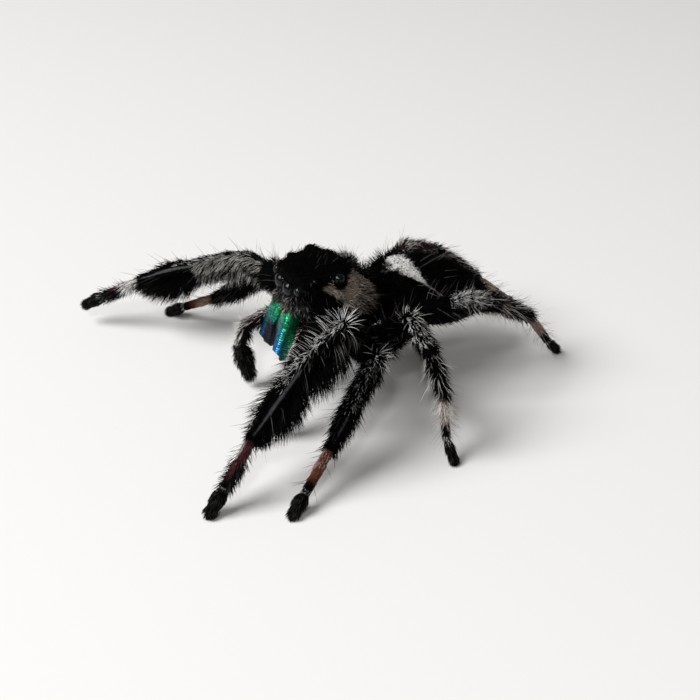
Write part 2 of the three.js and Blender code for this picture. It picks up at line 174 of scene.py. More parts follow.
# How far each joint's axis lies below the top of the coat, from the knee outwards.
JOINT_DEPTH = {
    1: (0.6, 0.6, 0.33, 0.24),
    2: (0.48, 0.48, 0.29, 0.21),
    3: (0.49, 0.46, 0.3, 0.22),
    4: (0.48, 0.45, 0.29, 0.22),
}
HIPS = {1: (1.75, 1.45, -1.5), 2: (2.2, 2.75, -2.6), 3: (2.4, 3.9, -3.0), 4: (1.85, 5.1, -1.95)}
HIP_REACH = vec(0.9, 0, -0.45)  # from a coxa's root out to its hip
HIP_MIDDLE, HIP_GATHER = 2.9, 0.35  # the y that the coxas' roots draw towards, and how far
FOOT_COAT = 0.12  # of the hair beyond a foot's flesh
FOOT_DOME = 0.75  # of a foot's rounded end, in half widths

# Palps: the root, the [turn, pitch] of the femur and the shin, and their lengths.
PALP_ROOTS = {"L": (1.4, 0.7, -1.75), "R": (1.12, 0.3, -1.85)}
PALP_TURNS = {"L": ((58, -30), (20, -66)), "R": ((20, -28), (14, -72))}
PALP_LENGTHS = (1.85, 1.15)
PALP_COAT, PALP_DOME = 0.12, 0.2

HEAD_LENGTH = 4.85
# The head and thorax, from the face backwards: y, half width, top, widest level and underside.
HEAD_SECTIONS = np.array([
    (0.04, 0.98, 0.62, -0.25, -0.7),
    (0.14, 1.17, 0.78, -0.3, -0.9),
    (0.4, 1.38, 0.92, -0.35, -1.25),
    (1.0, 1.7, 1.05, -0.5, -2.1),
    (2.1, 2.06, 1.1, -0.65, -2.85),
    (3.0, 2.2, 0.78, -0.8, -3.05),
    (3.85, 2.05, 0.05, -0.95, -3.0),
    (4.45, 1.7, -0.55, -1.15, -2.75),
    (HEAD_LENGTH, 0.8, -0.88, -1.25, -1.95),
])
HEAD_BOXINESS = (3.4, 2.0)  # exponent of a section's upper half, at the front and the back
HEAD_KEEL = 2.3  # exponent of its lower half
HEAD_COAT = 0.07
HEAD_LEVEL, HEAD_DEEP, HEAD_WIDE = -0.6, 1.6, 2.0  # of its axis and its unwrap
# The waist's ends behind the head's end, its level and its radius.
WAIST_FROM, WAIST_TO, WAIST_LEVEL, WAIST_RADIUS = -0.4, 0.6, -1.2, 0.26
ABDOMEN_FRONT = vec(0, HEAD_LENGTH + 0.2, -1.05)
ABDOMEN_LENGTH = 6.8
ABDOMEN_HALF = vec(1.9, 1.82)
ABDOMEN_DROOP = math.radians(20)
ABDOMEN_COAT = 0.13
# The spinnerets' ends: how far beyond the abdomen's, and how far aside.
SPINNERET_ROOT, SPINNERET_TIP = (-0.45, 0.13), (0.2, 0.2)
SPINNERET_RADIUS = 0.2

JAW_BASE = vec(0.54, 0.36, -0.95)
JAW_TIP = vec(0.78, -0.66, -3.4)
# Each kind of eye: the way the left one faces, and how far up it, in its radii from the centre, the
# skin round it comes.
EYES = {
    "anterior_median": (vec(0.12, -1, 0), 0.1),
    "anterior_lateral": (vec(0.45, -0.9, 0.1), 0.4),
    "posterior_median": (vec(0.8, -0.4, 0.45), 0.5),
    "posterior_lateral": (vec(0.92, 0.1, 0.42), 0.45),
}


class Part:
    """A stretch of the body along an axis: what a hair needs to know of where it grows. Its angle
    goes round from the back, towards the front, or in the first legs and the palps the midline."""

    def __init__(self, kind, pair, side, start, end, deep, wide, shares):
        self.kind, self.pair, self.side = kind, pair, side
        self.start, self.end = start, end
        self.length = np.linalg.norm(end - start)
        self.axis = (end - start) / self.length
        self.up = square_to(vec(0, 0, 1), self.axis)
        self.across = np.cross(self.axis, self.up)
        fore = self.across[0] * side if pair in (1, 5) else self.across[1]
        if fore > 0:
            self.across = -self.across
        self.deep, self.wide, self.shares = deep, wide, shares

    def share(self, t):
        t = np.clip(t, 0, 1)
        return np.maximum(lerp(*self.shares, t), np.sin(np.pi * t ** 0.85) ** 0.7)

    def project(self, points):
        """Points' share of the length, height, reach sideways, and how far past the ends they lie."""
        away = points - self.start
        t = away @ self.axis / self.length
        return t, away @ self.up, away @ self.across, (t - np.clip(t, 0, 1)) * self.length

    def place(self, points):
        """Where points lie: the share of the length, the angle round from the top, the depth."""
        t, rise, reach, past = self.project(points)
        out = np.sqrt((rise / self.deep) ** 2 + (reach / self.wide) ** 2 + (past / self.wide) ** 2)
        return t, np.arctan2(reach, rise), (out - self.share(t)) * (self.deep + self.wide) / 2

    def ring(self, middle, size, sides):
        angle = turns(sides)[:, None]
        off = self.deep * np.cos(angle) * self.up + self.wide * np.sin(angle) * self.across
        return middle + size * off

    def rings(self, sides=28, stops=22):
        """The flesh as rings of points, with domed ends."""
        dome = np.sin(np.linspace(0, np.pi / 2, 7)[1:])
        body = [(t, 0) for t in np.linspace(0, 1, stops)]
        made = []
        for t, past in [*((0, -d) for d in dome[::-1]), *body, *((1, d) for d in dome)]:
            share = self.share(t)
            middle = self.start + self.axis * (t * self.length + past * share * self.wide)
            made.append(self.ring(middle, share * math.sqrt(max(1 - past * past, 0.0004)), sides))
        return made


class Head(Part):
    """The head and thorax, whose sections are boxy above and narrow to a keel below."""

    def section(self, y):
        """The half width, top, widest level and underside at y."""
        return [np.interp(y, HEAD_SECTIONS[:, 0], HEAD_SECTIONS[:, c]) for c in range(1, 5)]

    def shape(self, upper, top, middle, under, t):
        """The height and the exponent of a section's upper or lower half."""
        tall = np.where(upper, top - middle, middle - under) - HEAD_COAT
        return tall, np.where(upper, lerp(*HEAD_BOXINESS, t), HEAD_KEEL)

    def place(self, points):
        x, y, z = points.T
        half, top, middle, under = self.section(np.clip(y, HEAD_SECTIONS[0, 0], HEAD_LENGTH))
        wide, rise = half - HEAD_COAT, z - middle
        tall, boxy = self.shape(rise > 0, top, middle, under, np.clip(y / HEAD_LENGTH, 0, 1))
        out = (np.abs(x / wide) ** boxy + np.abs(rise / tall) ** boxy) ** (1 / boxy)
        past = np.maximum(0, np.maximum(-y, y - HEAD_LENGTH))
        return y / HEAD_LENGTH, np.arctan2(x, rise), (out - 1) * np.minimum(wide, tall) + past

    def rings(self, sides=72, stops=60):
        cos, sin = np.cos(turns(sides)), np.sin(turns(sides))
        made = []
        for t in np.linspace(0, 1, stops) ** 1.3:
            y = lerp(HEAD_SECTIONS[0, 0] + HEAD_COAT, HEAD_LENGTH - HEAD_COAT, t)
            half, top, middle, under = self.section(y)
            tall, boxy = self.shape(sin > 0, top, middle, under, t)
            x = (half - HEAD_COAT) * squared(cos, 2 / boxy)
            made.append(np.stack([x, np.full(sides, y), middle + tall * squared(sin, 2 / boxy)], 1))
        return made


class Abdomen(Part):
    def share(self, t):
        """How full it is along its length: broad shoulders, then a long taper."""
        t = np.clip(t, 0.0005, 0.9995)
        return np.sin(np.pi * t ** 0.76) ** (0.25 + 0.42 * t) * (1.03 - 0.12 * t)

    def rings(self, sides=72, stops=60):
        stations = (1 - np.cos(np.linspace(0.03, np.pi - 0.03, stops))) / 2
        return [self.ring(self.start + self.axis * t * self.length, self.share(t), sides) for t in stations]

    def place(self, points):
        t, rise, reach, past = self.project(points)
        size = np.maximum(self.share(t), 0.15)
        out = np.sqrt((rise / self.deep) ** 2 + (reach / self.wide) ** 2)
        return t, np.arctan2(reach, rise), (out - size) * self.wide * 0.9 + np.abs(past)


def heading(side, turn, pitch):
    """A direction from a turn away from straight ahead towards one side, and a pitch, in degrees."""
    t, p = math.radians(turn), math.radians(pitch)
    return vec(side * math.sin(t) * math.cos(p), -math.cos(t) * math.cos(p), math.sin(p))


def leg_joints(leg):
    """The hip, the four joints beyond it and the foot's end of a leg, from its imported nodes."""
    pair, side = int(leg[1]), SIDES[leg[0]]
    nodes = [f"leg_{leg}_{s}" for s in SEGMENTS]
    foot = corners_of(nodes[-1])[0]
    joints = [vec(*HIPS[pair]) * (side, 1, 1)]
    faces = [cut_face(a, b) for a, b in zip(nodes, nodes[1:])]
    rough = [joints[0], *(f.mean(0) for f in faces), foot.mean(0)]
    for face, depth, before, here, after in zip(faces, JOINT_DEPTH[pair], rough, rough[1:], rough[2:]):
        axis = unit(unit(here - before) + unit(after - here))
        up = square_to(vec(0, 0, 1), axis)
        across = np.cross(axis, up)
        middle = (max(face @ across) + min(face @ across)) / 2
        joints.append(axis * (face @ axis).mean() + up * (max(face @ up) - depth) + across * middle)
    axis = unit(foot.mean(0) - joints[-1])
    reach = max((foot - joints[-1]) @ axis) - FOOT_COAT - FLESH[pair][-1][1] * FOOT_DOME
    return joints + [joints[-1] + axis * reach]


def limb(kinds, pair, side, joints, flesh):
    """The parts of a limb, from joint to joint."""
    return [Part(kind, pair, side, start, end, deep, wide, shares)
            for kind, start, end, (deep, wide, *shares) in zip(kinds, joints, joints[1:], flesh)]


def leg_parts(leg):
    pair, side = int(leg[1]), SIDES[leg[0]]
    joints = leg_joints(leg)
    gather = (HIP_MIDDLE - HIPS[pair][1]) * HIP_GATHER
    root = joints[0] - HIP_REACH * (side, 1, 1) + (0, gather, 0)
    return limb(["coxa", *SEGMENTS], pair, side, [root, *joints], FLESH[pair])


def palp_parts(letter):
    side = SIDES[letter]
    joints = [vec(*PALP_ROOTS[letter]) * (side, 1, 1)]
    for length, turn in zip(PALP_LENGTHS, PALP_TURNS[letter]):
        joints.append(joints[-1] + heading(side, *turn) * length)
    tip = corners_of(f"palp_{letter}_tarsus")[0]
    axis = unit(tip.mean(0) - joints[-1])
    joints.append(joints[-1] + axis * (max((tip - joints[-1]) @ axis) - PALP_COAT - PALP_DOME))
    return limb(["palp_femur", "palp_shin", "palp_tarsus"], 5, side, joints, PALP_FLESH)


def body_parts():
    tail = vec(0, math.cos(ABDOMEN_DROOP), -math.sin(ABDOMEN_DROOP))
    back = ABDOMEN_FRONT + tail * ABDOMEN_LENGTH
    wide, deep = ABDOMEN_HALF - ABDOMEN_COAT
    inset = tail * ABDOMEN_COAT
    head = vec(0, 0, HEAD_LEVEL), vec(0, HEAD_LENGTH, HEAD_LEVEL)
    waist = (vec(0, HEAD_LENGTH + past, WAIST_LEVEL) for past in (WAIST_FROM, WAIST_TO))
    parts = [
        Head("head", 0, 0, *head, HEAD_DEEP, HEAD_WIDE, (1, 1)),
        Part("waist", 0, 0, *waist, WAIST_RADIUS, WAIST_RADIUS, (1, 1)),
        Abdomen("abdomen", 0, 0, ABDOMEN_FRONT + inset, back - inset, deep, wide, (1, 1)),
    ]
    for side in SIDES.values():
        ends = (back + tail * past + (side * aside, 0, 0) for past, aside in (SPINNERET_ROOT, SPINNERET_TIP))
        parts.append(Part("spinneret", 0, side, *ends, SPINNERET_RADIUS, SPINNERET_RADIUS, (1, 0.6)))
    return parts


parts = body_parts()
for letter in "LR":
    for number in "1234":
        parts += leg_parts(letter + number)
    parts += palp_parts(letter)
KINDS = sorted({p.kind for p in parts})


# ---------------- the skin

def ball_rings(centre, radius, look, stretch=1.0, sides=32, stops=18):
    """Rings of a ball, stretched the way it looks."""
    look = unit(vec(*look))
    side = square_to(vec(0.31, 0.2, 0.93), look)
    other = np.cross(look, side)
    angle = turns(sides)[:, None]
    made = []
    for tip in np.linspace(0.05, math.pi - 0.05, stops):
        middle = centre - look * radius * stretch * math.cos(tip)
        made.append(middle + radius * math.sin(tip) * (np.cos(angle) * side + np.sin(angle) * other))
    return made


# Flesh on each side that isn't a stretch of limb: its middle, radius, the way it is stretched and how
# far. The plate beside the mouth, the cheek behind the jaw, and the jaw's root.
SIDE_FLESH = [
    (vec(0.42, 1.25, -2.25), 0.4, (0.3, -0.4, -0.5), 1.35),
    (vec(0.5, 0.75, -1.2), 0.55, (0.1, -0.3, -1), 1.3),
    (JAW_BASE, 0.5, JAW_TIP - JAW_BASE, 1.1),
]
# The same in the middle: the breastplate and the lip.
MIDDLE_FLESH = [
    (vec(0, 3.1, -2.05), 0.75, (0, 1, 0.02), 1.75),
    (vec(0, 1.75, -2.2), 0.3, (0, 1, 0.1), 1.3),
]


MOUND_SCALE, MOUND_RIM = 1.3, 0.1  # of the mounds that the eyes sit in, against the eyes


def extra_rings():
    """The flesh that isn't a stretch of limb, with the mounds that the eyes sit in."""
    made = []
    for letter, side in SIDES.items():
        mirror = (side, 1, 1)
        for kind, (look, seat) in EYES.items():
            look = unit(look * mirror)
            radius = eye_radius(kind)
            size = radius * MOUND_SCALE + MOUND_RIM
            made.append(ball_rings(eye_centre(kind, letter) - look * (size - radius * seat), size, look))
        for middle, radius, way, stretch in SIDE_FLESH:
            made.append(ball_rings(middle * mirror, radius, np.multiply(way, mirror), stretch))
    return made + [ball_rings(*flesh) for flesh in MIDDLE_FLESH]


def lofted(rings, first):
    """A closed surface through rings of points: its points, and its faces, that count from first."""
    sides = len(rings[0])
    points = np.concatenate([*rings, rings[0].mean(0)[None], rings[-1].mean(0)[None]])
    last = first + (len(rings) - 1) * sides
    end = first + len(points)
    faces = []
    for s in range(sides):
        n = (s + 1) % sides
        faces += [(r + s, r + n, r + sides + n, r + sides + s) for r in range(first, last, sides)]
        faces += [(end - 2, first + n, first + s), (end - 1, last + s, last + n)]
    return points, faces


def piece_of(name, mesh):
    piece = bpy.data.objects.new(name, mesh)
    bpy.context.scene.collection.objects.link(piece)
    return piece


def piece_with(name, points, faces):
    mesh = bpy.data.meshes.new(name)
    mesh.from_pydata(points, [], faces)
    return piece_of(name, mesh)


def piece_through(name, *bodies):
    """A piece of closed surfaces, each through its own rings of points."""
    points, faces = np.zeros((0, 3)), []
    for rings in bodies:
        more, sides = lofted(rings, len(points))
        points = np.concatenate([points, more])
        faces += sides
    return piece_with(name, points, faces)


VOXEL = 0.074  # of the grid on which the flesh becomes one body
SOFTENING, SOFTENINGS = 0.5, 5


def make_skin():
    """One body of all the flesh, a little softened."""
    skin = piece_through("skin", *(p.rings() for p in parts), *extra_rings())
    remesh = skin.modifiers.new("one body", "REMESH")
    remesh.mode = "VOXEL"
    remesh.voxel_size = VOXEL
    soften = skin.modifiers.new("soften", "SMOOTH")
    soften.factor = SOFTENING
    soften.iterations = SOFTENINGS
    graph = bpy.context.evaluated_depsgraph_get()
    mesh = bpy.data.meshes.new_from_object(skin.evaluated_get(graph))
    skin.modifiers.clear()
    skin.data = mesh
    return skin


skin = make_skin()
skin_points = read(skin.data.vertices, "co")


# ---------------- where things are on the skin

class Places:
    """What is known of some points of the skin."""

    def __init__(self, points, normals=None):
        self.point = points
        self.normal = normals
        self.part = np.zeros(len(points), int)
        self.t = np.zeros(len(points))
        self.angle = np.zeros(len(points))
        nearest = np.full(len(points), 1e9)
        for i, part in enumerate(parts):
            t, angle, depth = part.place(points)
            closer = depth < nearest
            nearest[closer] = depth[closer]
            self.part[closer] = i
            self.t[closer] = t[closer]
            self.angle[closer] = angle[closer]
        self.kind = np.array([KINDS.index(p.kind) for p in parts])[self.part]
        for trait in ("pair", "side", "axis"):
            setattr(self, trait, np.array([getattr(p, trait) for p in parts])[self.part])

    def take(self, keep):
        """The same for some of the points."""
        few = object.__new__(Places)
        for name, values in vars(self).items():
            setattr(few, name, values[keep])
        return few

    def on(self, kinds):
        return np.isin(self.kind, [KINDS.index(k) for k in kinds.split()])

    def top(self, half):
        """1 on the back of a part, falling to 0 at an angle from it, in degrees."""
        return 1 - smooth(0.6, 1.0, np.abs(self.angle) / np.radians(half))

    def under(self, half):
        return 1 - smooth(0.6, 1.0, (math.pi - np.abs(self.angle)) / np.radians(half))

    def root(self, low, high):
        """1 at the root of a part, falling to 0 from one share of its length to another."""
        return 1 - smooth(low, high, self.t)

    def turned(self):
        """The angles from the back, in degrees."""
        return np.abs(np.degrees(self.angle))


BLACK = vec(0.001, 0.0009, 0.0009)
GREY = vec(0.36, 0.345, 0.32)
PALE = vec(0.78, 0.76, 0.72)
WHITE = vec(0.9, 0.89, 0.86)
# painted shade: the cheek patch is white, but is painted brown-grey, as it looks in shade
CHEEK_IN_SHADE = vec(0.28, 0.236, 0.194)
FUZZ = vec(0.17, 0.165, 0.17)
# painted sheen: the bare stripes are real, but their cuticle is glossy black; this slate grey paints the
# light they reflect
SLATE_SHEEN = vec(0.1, 0.108, 0.118)
MAROON = vec(0.085, 0.022, 0.028)
ORANGE = vec(0.17, 0.058, 0.034)
PINK = vec(0.36, 0.22, 0.185)


def clumped(points, size):
    """A smooth noise from -1 to 1, by place, to draw hairs together."""
    waves = np.zeros(len(points))
    for k in range(4):
        direction = unit(np.random.default_rng(20 + k).normal(size=3))
        waves += np.sin(points @ direction * (2 * math.pi / size) * (1 + 0.4 * k) + 1.7 * k)
    return waves / 4


def cheek_amount(at):
    """The pale patch on each side of the head, behind and below the last eye."""
    x, y, z = at.point.T
    eye = eye_centre("posterior_lateral", "L")
    upper = np.interp(y, (1.3, 1.9, 2.3, 2.7, 3.3, 3.8, 4.3), (0.34, 0.4, 0.44, 0.56, 0.5, 0.12, -0.5))
    lower = np.interp(y, (1.3, 2.0, 2.7, 3.4, 4.3), (0.26, -0.25, -1.0, -1.38, -1.3))
    lower = lower + 0.1 * clumped(at.point, 0.5)
    inside = between(lower, upper, z, 0.06) * smooth(1.25, 1.45, y) * (1 - smooth(4.0, 4.3, y))
    ring = np.sqrt((y - eye[1]) ** 2 + (z - eye[2]) ** 2)
    return inside * smooth(0.42, 0.52, ring) * at.on("head") * (np.abs(x) > 0.8)


def band_amount(at):
    """The white band round the front of the abdomen and down its sides."""
    turn = at.turned()
    path = np.interp(turn, (0, 25, 45, 60, 75, 90), (0.07, 0.085, 0.125, 0.22, 0.37, 0.53))
    width = np.interp(turn, (0, 20, 44, 54, 60, 80, 95), (0.062, 0.068, 0.066, 0.044, 0.018, 0.014, 0.012))
    away = np.abs(at.t - path) / width + 0.26 * clumped(at.point, 0.26)
    return (1 - smooth(0.85, 1.1, away)) * (turn < 96) * at.on("abdomen")


def bare_line(at):
    """1 along the smooth stripe on each side of the tibia's back in the first two pairs of legs."""
    turn = at.turned()
    first = between(32, 45, turn, 2) * between(0.04, 0.96, at.t, 0.03) * (at.pair == 1)
    second = between(35, 43, turn, 2) * between(0.42, 0.92, at.t, 0.05) * (at.pair == 2)
    return (first + second) * at.on("tibia")


def hairy(at):
    """1 on the limbs, but for the smooth stripes and their edges."""
    second = between(32, 46, at.turned(), 1) * (at.pair == 2) * (at.t > 0.4)
    edge = np.where(at.pair == 1, between(25, 53, at.turned(), 1), second)
    return at.on("tibia") * edge < 0.5


def markings(at):
    """The colour of the coat at its places, which skin and hairs share."""
    foot = at.on("metatarsus")
    first, second, fourth = (at.pair == n for n in (1, 2, 4))
    knee = fourth * (at.side < 0) * np.where(at.on("femur"), at.t > 0.8, at.t < 0.8)
    # painted shade: the white band turns grey along its tail, where it lies in shade
    tail = smooth(0.22, 0.27, at.t)[:, None]
    layers = [
        # the white cheek patch, in its painted shade of brown-grey
        (CHEEK_IN_SHADE, cheek_amount(at)),
        # the white band, with painted shade in grey along its tail
        (WHITE * 1.1 + (GREY * 1.2 - WHITE * 1.1) * tail, band_amount(at)),
        # the bare stripes, real, in a painted sheen of slate grey
        (SLATE_SHEEN, bare_line(at)),
        (MAROON, foot * first * at.root(0.7, 0.95)),
        (ORANGE, foot * second * at.root(0.66, 0.84)),
        (PINK, foot * (at.pair > 2) * at.root(0.55, 0.72)),
        (PALE * 0.6, foot * first * (at.angle > 0) * at.root(0.4, 0.55)),
        (PALE * 0.5, at.on("tarsus") * at.root(0.08, 0.2)),
        (PINK * 1.1, foot * second * (at.angle > 0.2) * at.root(0.5, 0.65)),
        (PINK * 0.3, at.on("tibia") * fourth * at.root(0.16, 0.3)),
        (MAROON, at.on("palp_femur palp_shin") * (at.angle > 0) * 0.3),
        (PINK * 0.14, at.on("femur patella") * knee * at.top(120) * 0.7),
    ]
    colour = np.tile(BLACK, (len(at.t), 1))
    for paint, amount in layers:
        colour = colour + (paint - colour) * np.clip(amount, 0, 1)[:, None]
    return colour


def set_colour(mesh, colours):
    layer = mesh.color_attributes.new("coat", "FLOAT_COLOR", "POINT")
    layer.data.foreach_set("color", np.hstack([colours, np.ones((len(colours), 1))]).ravel())


def set_uv(mesh, places):
    mesh.uv_layers.new(name="OFBake").data.foreach_set("uv", places.ravel())


class Unwrap:
    """The unwrap: each part's side rolled out flat, all at one scale on shelves of one square."""
    GAP = 0.2  # between the parts, in mm
    SPARE = 1.16  # of the square's side, to leave room for what the shelves waste

    def __init__(self):
        tiles = [(p.length + 2 * p.wide, 2 * math.pi * p.wide, i) for i, p in enumerate(parts)]
        tiles.sort(reverse=True)
        span = self.SPARE * math.sqrt(sum(tall * wide for tall, wide, _ in tiles))
        self.corner, self.size = np.zeros((2, len(parts), 2))
        x = y = shelf = 0
        for tall, wide, i in tiles:
            if x + wide > span:
                x, y, shelf = 0, y + shelf, 0
            self.corner[i] = x, y
            self.size[i] = wide, tall
            x += wide + self.GAP
            shelf = max(shelf, tall + self.GAP)
        self.span = max(span, y + shelf)

    def flat(self, part, t, turn):
        """Places on the square from parts, shares of their length and turns round them."""
        lengths = np.array([p.length for p in parts])[part]
        girth = np.array([p.wide for p in parts])[part]
        along = np.clip(t * lengths + girth, 0, self.size[part, 1])
        around = (turn / (2 * math.pi) + 0.5) * self.size[part, 0]
        return (self.corner[part] + np.stack([around, along], -1)) / self.span


unwrap = Unwrap()


def unwrap_skin():
    """Each face of the skin goes on the square with the part that its middle is on."""
    mesh = skin.data
    totals = read(mesh.polygons, "loop_total", 1, int)[:, 0]
    corners = read(mesh.loops, "vertex_index", 1, int)[:, 0]
    owner = np.repeat(np.arange(len(totals)), totals)
    middle = Places(read(mesh.polygons, "center"))
    t, turn = np.zeros((2, len(corners)))
    for i, part in enumerate(parts):
        mine = middle.part[owner] == i
        if mine.any():
            t[mine], turn[mine], _ = part.place(skin_points[corners[mine]])
    home = middle.angle[owner]
    turn = home + (turn - home + math.pi) % (2 * math.pi) - math.pi
    set_uv(mesh, unwrap.flat(middle.part[owner], t, turn))


# ---------------- hairs

def eye_clearance(points):
    """How far points are from the nearest eye's surface."""
    clear = np.full(len(points), 9.0)
    for letter in SIDES:
        for kind in EYES:
            away = np.linalg.norm(points - eye_centre(kind, letter), axis=1) - eye_radius(kind)
            clear = np.minimum(clear, away)
    return clear


class Ground:
    """The skin's triangles, for hairs to grow on."""

    def __init__(self):
        skin.data.calc_loop_triangles()
        self.tri = read(skin.data.loop_triangles, "vertices", kind=int)
        self.normals = read(skin.data.vertices, "normal")
        a, b, c = (skin_points[self.tri[:, k]] for k in range(3))
        self.area = np.linalg.norm(np.cross(b - a, c - a), axis=1) / 2
        self.middle = Places((a + b + c) / 3)

    def scatter(self, per_mm2, kinds):
        """Points spread evenly over the parts of some kinds."""
        share = self.area * self.middle.on(kinds)
        count = int(share.sum() * per_mm2)
        at = self.tri[rng.choice(len(self.tri), count, p=share / share.sum())]
        u, v = rng.random((2, count))
        flip = u + v > 1
        u[flip], v[flip] = 1 - u[flip], 1 - v[flip]
        w = np.stack([1 - u - v, u, v], 1)[..., None]
        return Places((skin_points[at] * w).sum(1), unit((self.normals[at] * w).sum(1)))


def lie_of(at):
    """The way the coat lies: along limbs and back over the body, and down over the face."""
    way = at.axis.copy()
    way[:, 2] -= np.where((at.pair == 1) & at.on("patella"), 0.9, 0.3)
    head = at.on("head")
    x, y, z = at.point.T
    face = head & (y < 0.9) & (z < 0.35)
    way[head] = np.where((cheek_amount(at) > 0)[:, None], (0, 1, -0.7), (0, 1, -0.2))[head]
    way[face] = np.stack([x * 0.35, np.full(len(x), -0.35), np.full(len(x), -1.0)], 1)[face]
    return square_to(way, at.normal)


def at_each(value, at):
    """A value that may be a function of the places."""
    return value(at) if callable(value) else value


class Coat:
    """Hairs of one piece, gathered and then made into one mesh."""
    SUNK = 0.02  # how far hairs' roots lie under the skin
    CLEAR = 0.006  # how far hairs stay off the ground
    UV_SPOT = 0.0015  # the size of a hair's own spot on the unwrap

    def __init__(self):
        self.points, self.faces, self.colours, self.uvs, self.count = [], [], [], [], 0

    def add(self, at, length, lift, drop, colour, width, stray, steps, sag):
        """Adds a hair at each place. lift is its angle off the skin at the root and drop the angle
        that it loses on the way, both in degrees, and sag how far it turns to hang down."""
        n = len(at.t)
        colour = np.clip(at_each(colour, at) * rng.uniform(0.6, 1.4, (n, 1)), 0, 0.95)
        width = width * rng.uniform(0.8, 1.25, n)
        lie = square_to(lie_of(at) + (0, 0, -sag), at.normal)
        aside = np.cross(at.normal, lie)
        sway = np.radians(rng.normal(0, stray, n) + 0.8 * stray * clumped(at.point, 0.5))
        lie = lie * np.cos(sway)[:, None] + aside * np.sin(sway)[:, None]
        lift = np.radians(np.clip(at_each(lift, at) + rng.normal(0, 0.35 * stray, n), 4, 90))
        drop = np.radians(drop) * rng.uniform(0.6, 1.3, n)
        length = at_each(length, at) * rng.uniform(0.72, 1.18, n)
        here = at.point - at.normal * self.SUNK
        spine = [here]
        for s in range(steps):
            angle = lift - drop * (s + 0.5) / steps
            step = lie * np.cos(angle)[:, None] + at.normal * np.sin(angle)[:, None]
            here = here + step * (length / steps)[:, None]
            spine.append(here)
        spine = np.stack(spine, 1)
        spine[..., 2] = np.maximum(spine[..., 2], GROUND + self.CLEAR)
        self.weave(at, spine, width, colour)

    def weave(self, at, spine, width, colour):
        """Makes three-sided hairs that taper to a point along their spines."""
        n, steps = len(spine), spine.shape[1] - 1
        run = unit(spine[:, 1] - spine[:, 0])
        side = square_to(at.normal + rng.normal(0, 0.4, (n, 3)), run)
        other = np.cross(run, side)
        rings = []
        faces = [(0, 2, 1)]
        for s in range(steps):
            thick = width * (1 - s / steps) ** 0.6
            for k in range(3):
                turn = 2 * math.pi * k / 3
                off = (side * math.cos(turn) + other * math.sin(turn)) * thick[:, None] / 2
                rings.append(spine[:, s] + off)
                a, b = 3 * s + k, 3 * s + (k + 1) % 3
                tip = 3 * steps
                faces += [(a, b, b + 3), (a, b + 3, a + 3)] if s < steps - 1 else [(a, b, tip)]
        rings.append(spine[:, -1])
        corners = len(rings)
        first = self.count + np.arange(n)[:, None] * corners
        self.points.append(np.stack(rings, 1).reshape(-1, 3))
        self.faces.append((first[:, :, None] + np.reshape(faces, (1, 1, -1))).reshape(-1, 3))
        self.colours.append(np.repeat(colour, corners, axis=0))
        turn = 2.6 * np.append(np.repeat(np.arange(steps), 3) / steps, 1.0)
        spot = self.UV_SPOT * np.stack([np.cos(turn), np.sin(turn)], 1)
        self.uvs.append((unwrap.flat(at.part, at.t, at.angle)[:, None] + spot).reshape(-1, 2))
        self.count += n * corners

    def piece(self, name):
        points, faces = np.concatenate(self.points), np.concatenate(self.faces)
        mesh = bpy.data.meshes.new(name)
        mesh.vertices.add(len(points))
        mesh.vertices.foreach_set("co", points.ravel())
        mesh.loops.add(faces.size)
        mesh.loops.foreach_set("vertex_index", faces.ravel().astype(np.int32))
        mesh.polygons.add(len(faces))
        mesh.polygons.foreach_set("loop_start", np.arange(0, faces.size, 3, dtype=np.int32))
        mesh.update(calc_edges=True)
        set_colour(mesh, np.concatenate(self.colours))
        set_uv(mesh, np.concatenate(self.uvs)[faces.ravel()])
        return piece_of(name, mesh)


REGIONS = ["coat_head", "coat_abdomen", "coat_palps"]
REGIONS += [f"coat_leg_{s}{n}" for s in "LR" for n in "1234"] + ["coat_leg_L1_end", "coat_leg_R1_end"]


def region_of(part):
    """The piece that a part's hairs go in."""
    if part.pair == 0:
        return "coat_head" if part.kind in ("head", "waist") else "coat_abdomen"
    if part.pair == 5:
        return "coat_palps"
    outer = part.pair == 1 and part.kind in ("tibia", "metatarsus", "tarsus")
    return f"coat_leg_{'L' if part.side > 0 else 'R'}{part.pair}{'_end' if outer else ''}"


coats = {name: Coat() for name in REGIONS}
part_region = np.array([region_of(p) for p in parts])
EYE_GAP = 0.03  # clear of hairs round the eyes


def grow(per_mm2, kinds, where, length, lift, drop=20, colour=markings, width=0.026, stray=14,
         steps=2, sag=0):
    """Grows hairs on parts of some kinds, up to per_mm2 of them, by the chance where. The rest is as
    Coat.add takes it. Where, length, lift and colour may be functions of the places."""
    at = ground.scatter(per_mm2, kinds)
    at = at.take(rng.random(len(at.t)) < at_each(where, at) * (eye_clearance(at.point) > EYE_GAP))
    for name, coat in coats.items():
        mine = at.take(part_region[at.part] == name)
        if len(mine.t):
            coat.add(mine, length, lift, drop, colour, width, stray, steps, sag)


def speckled(colour, dark_share):
    """A colour, dark for a share of the hairs."""
    def tone(at):
        dark = rng.random((len(at.t), 1)) < dark_share
        return np.where(dark, BLACK * 3, at_each(colour, at) * rng.uniform(0.5, 1.4, (len(at.t), 1)))
    return tone


LIMBS = "coxa femur patella tibia"
PALP_ARM = "palp_femur palp_shin"
EVERYWHERE = 1


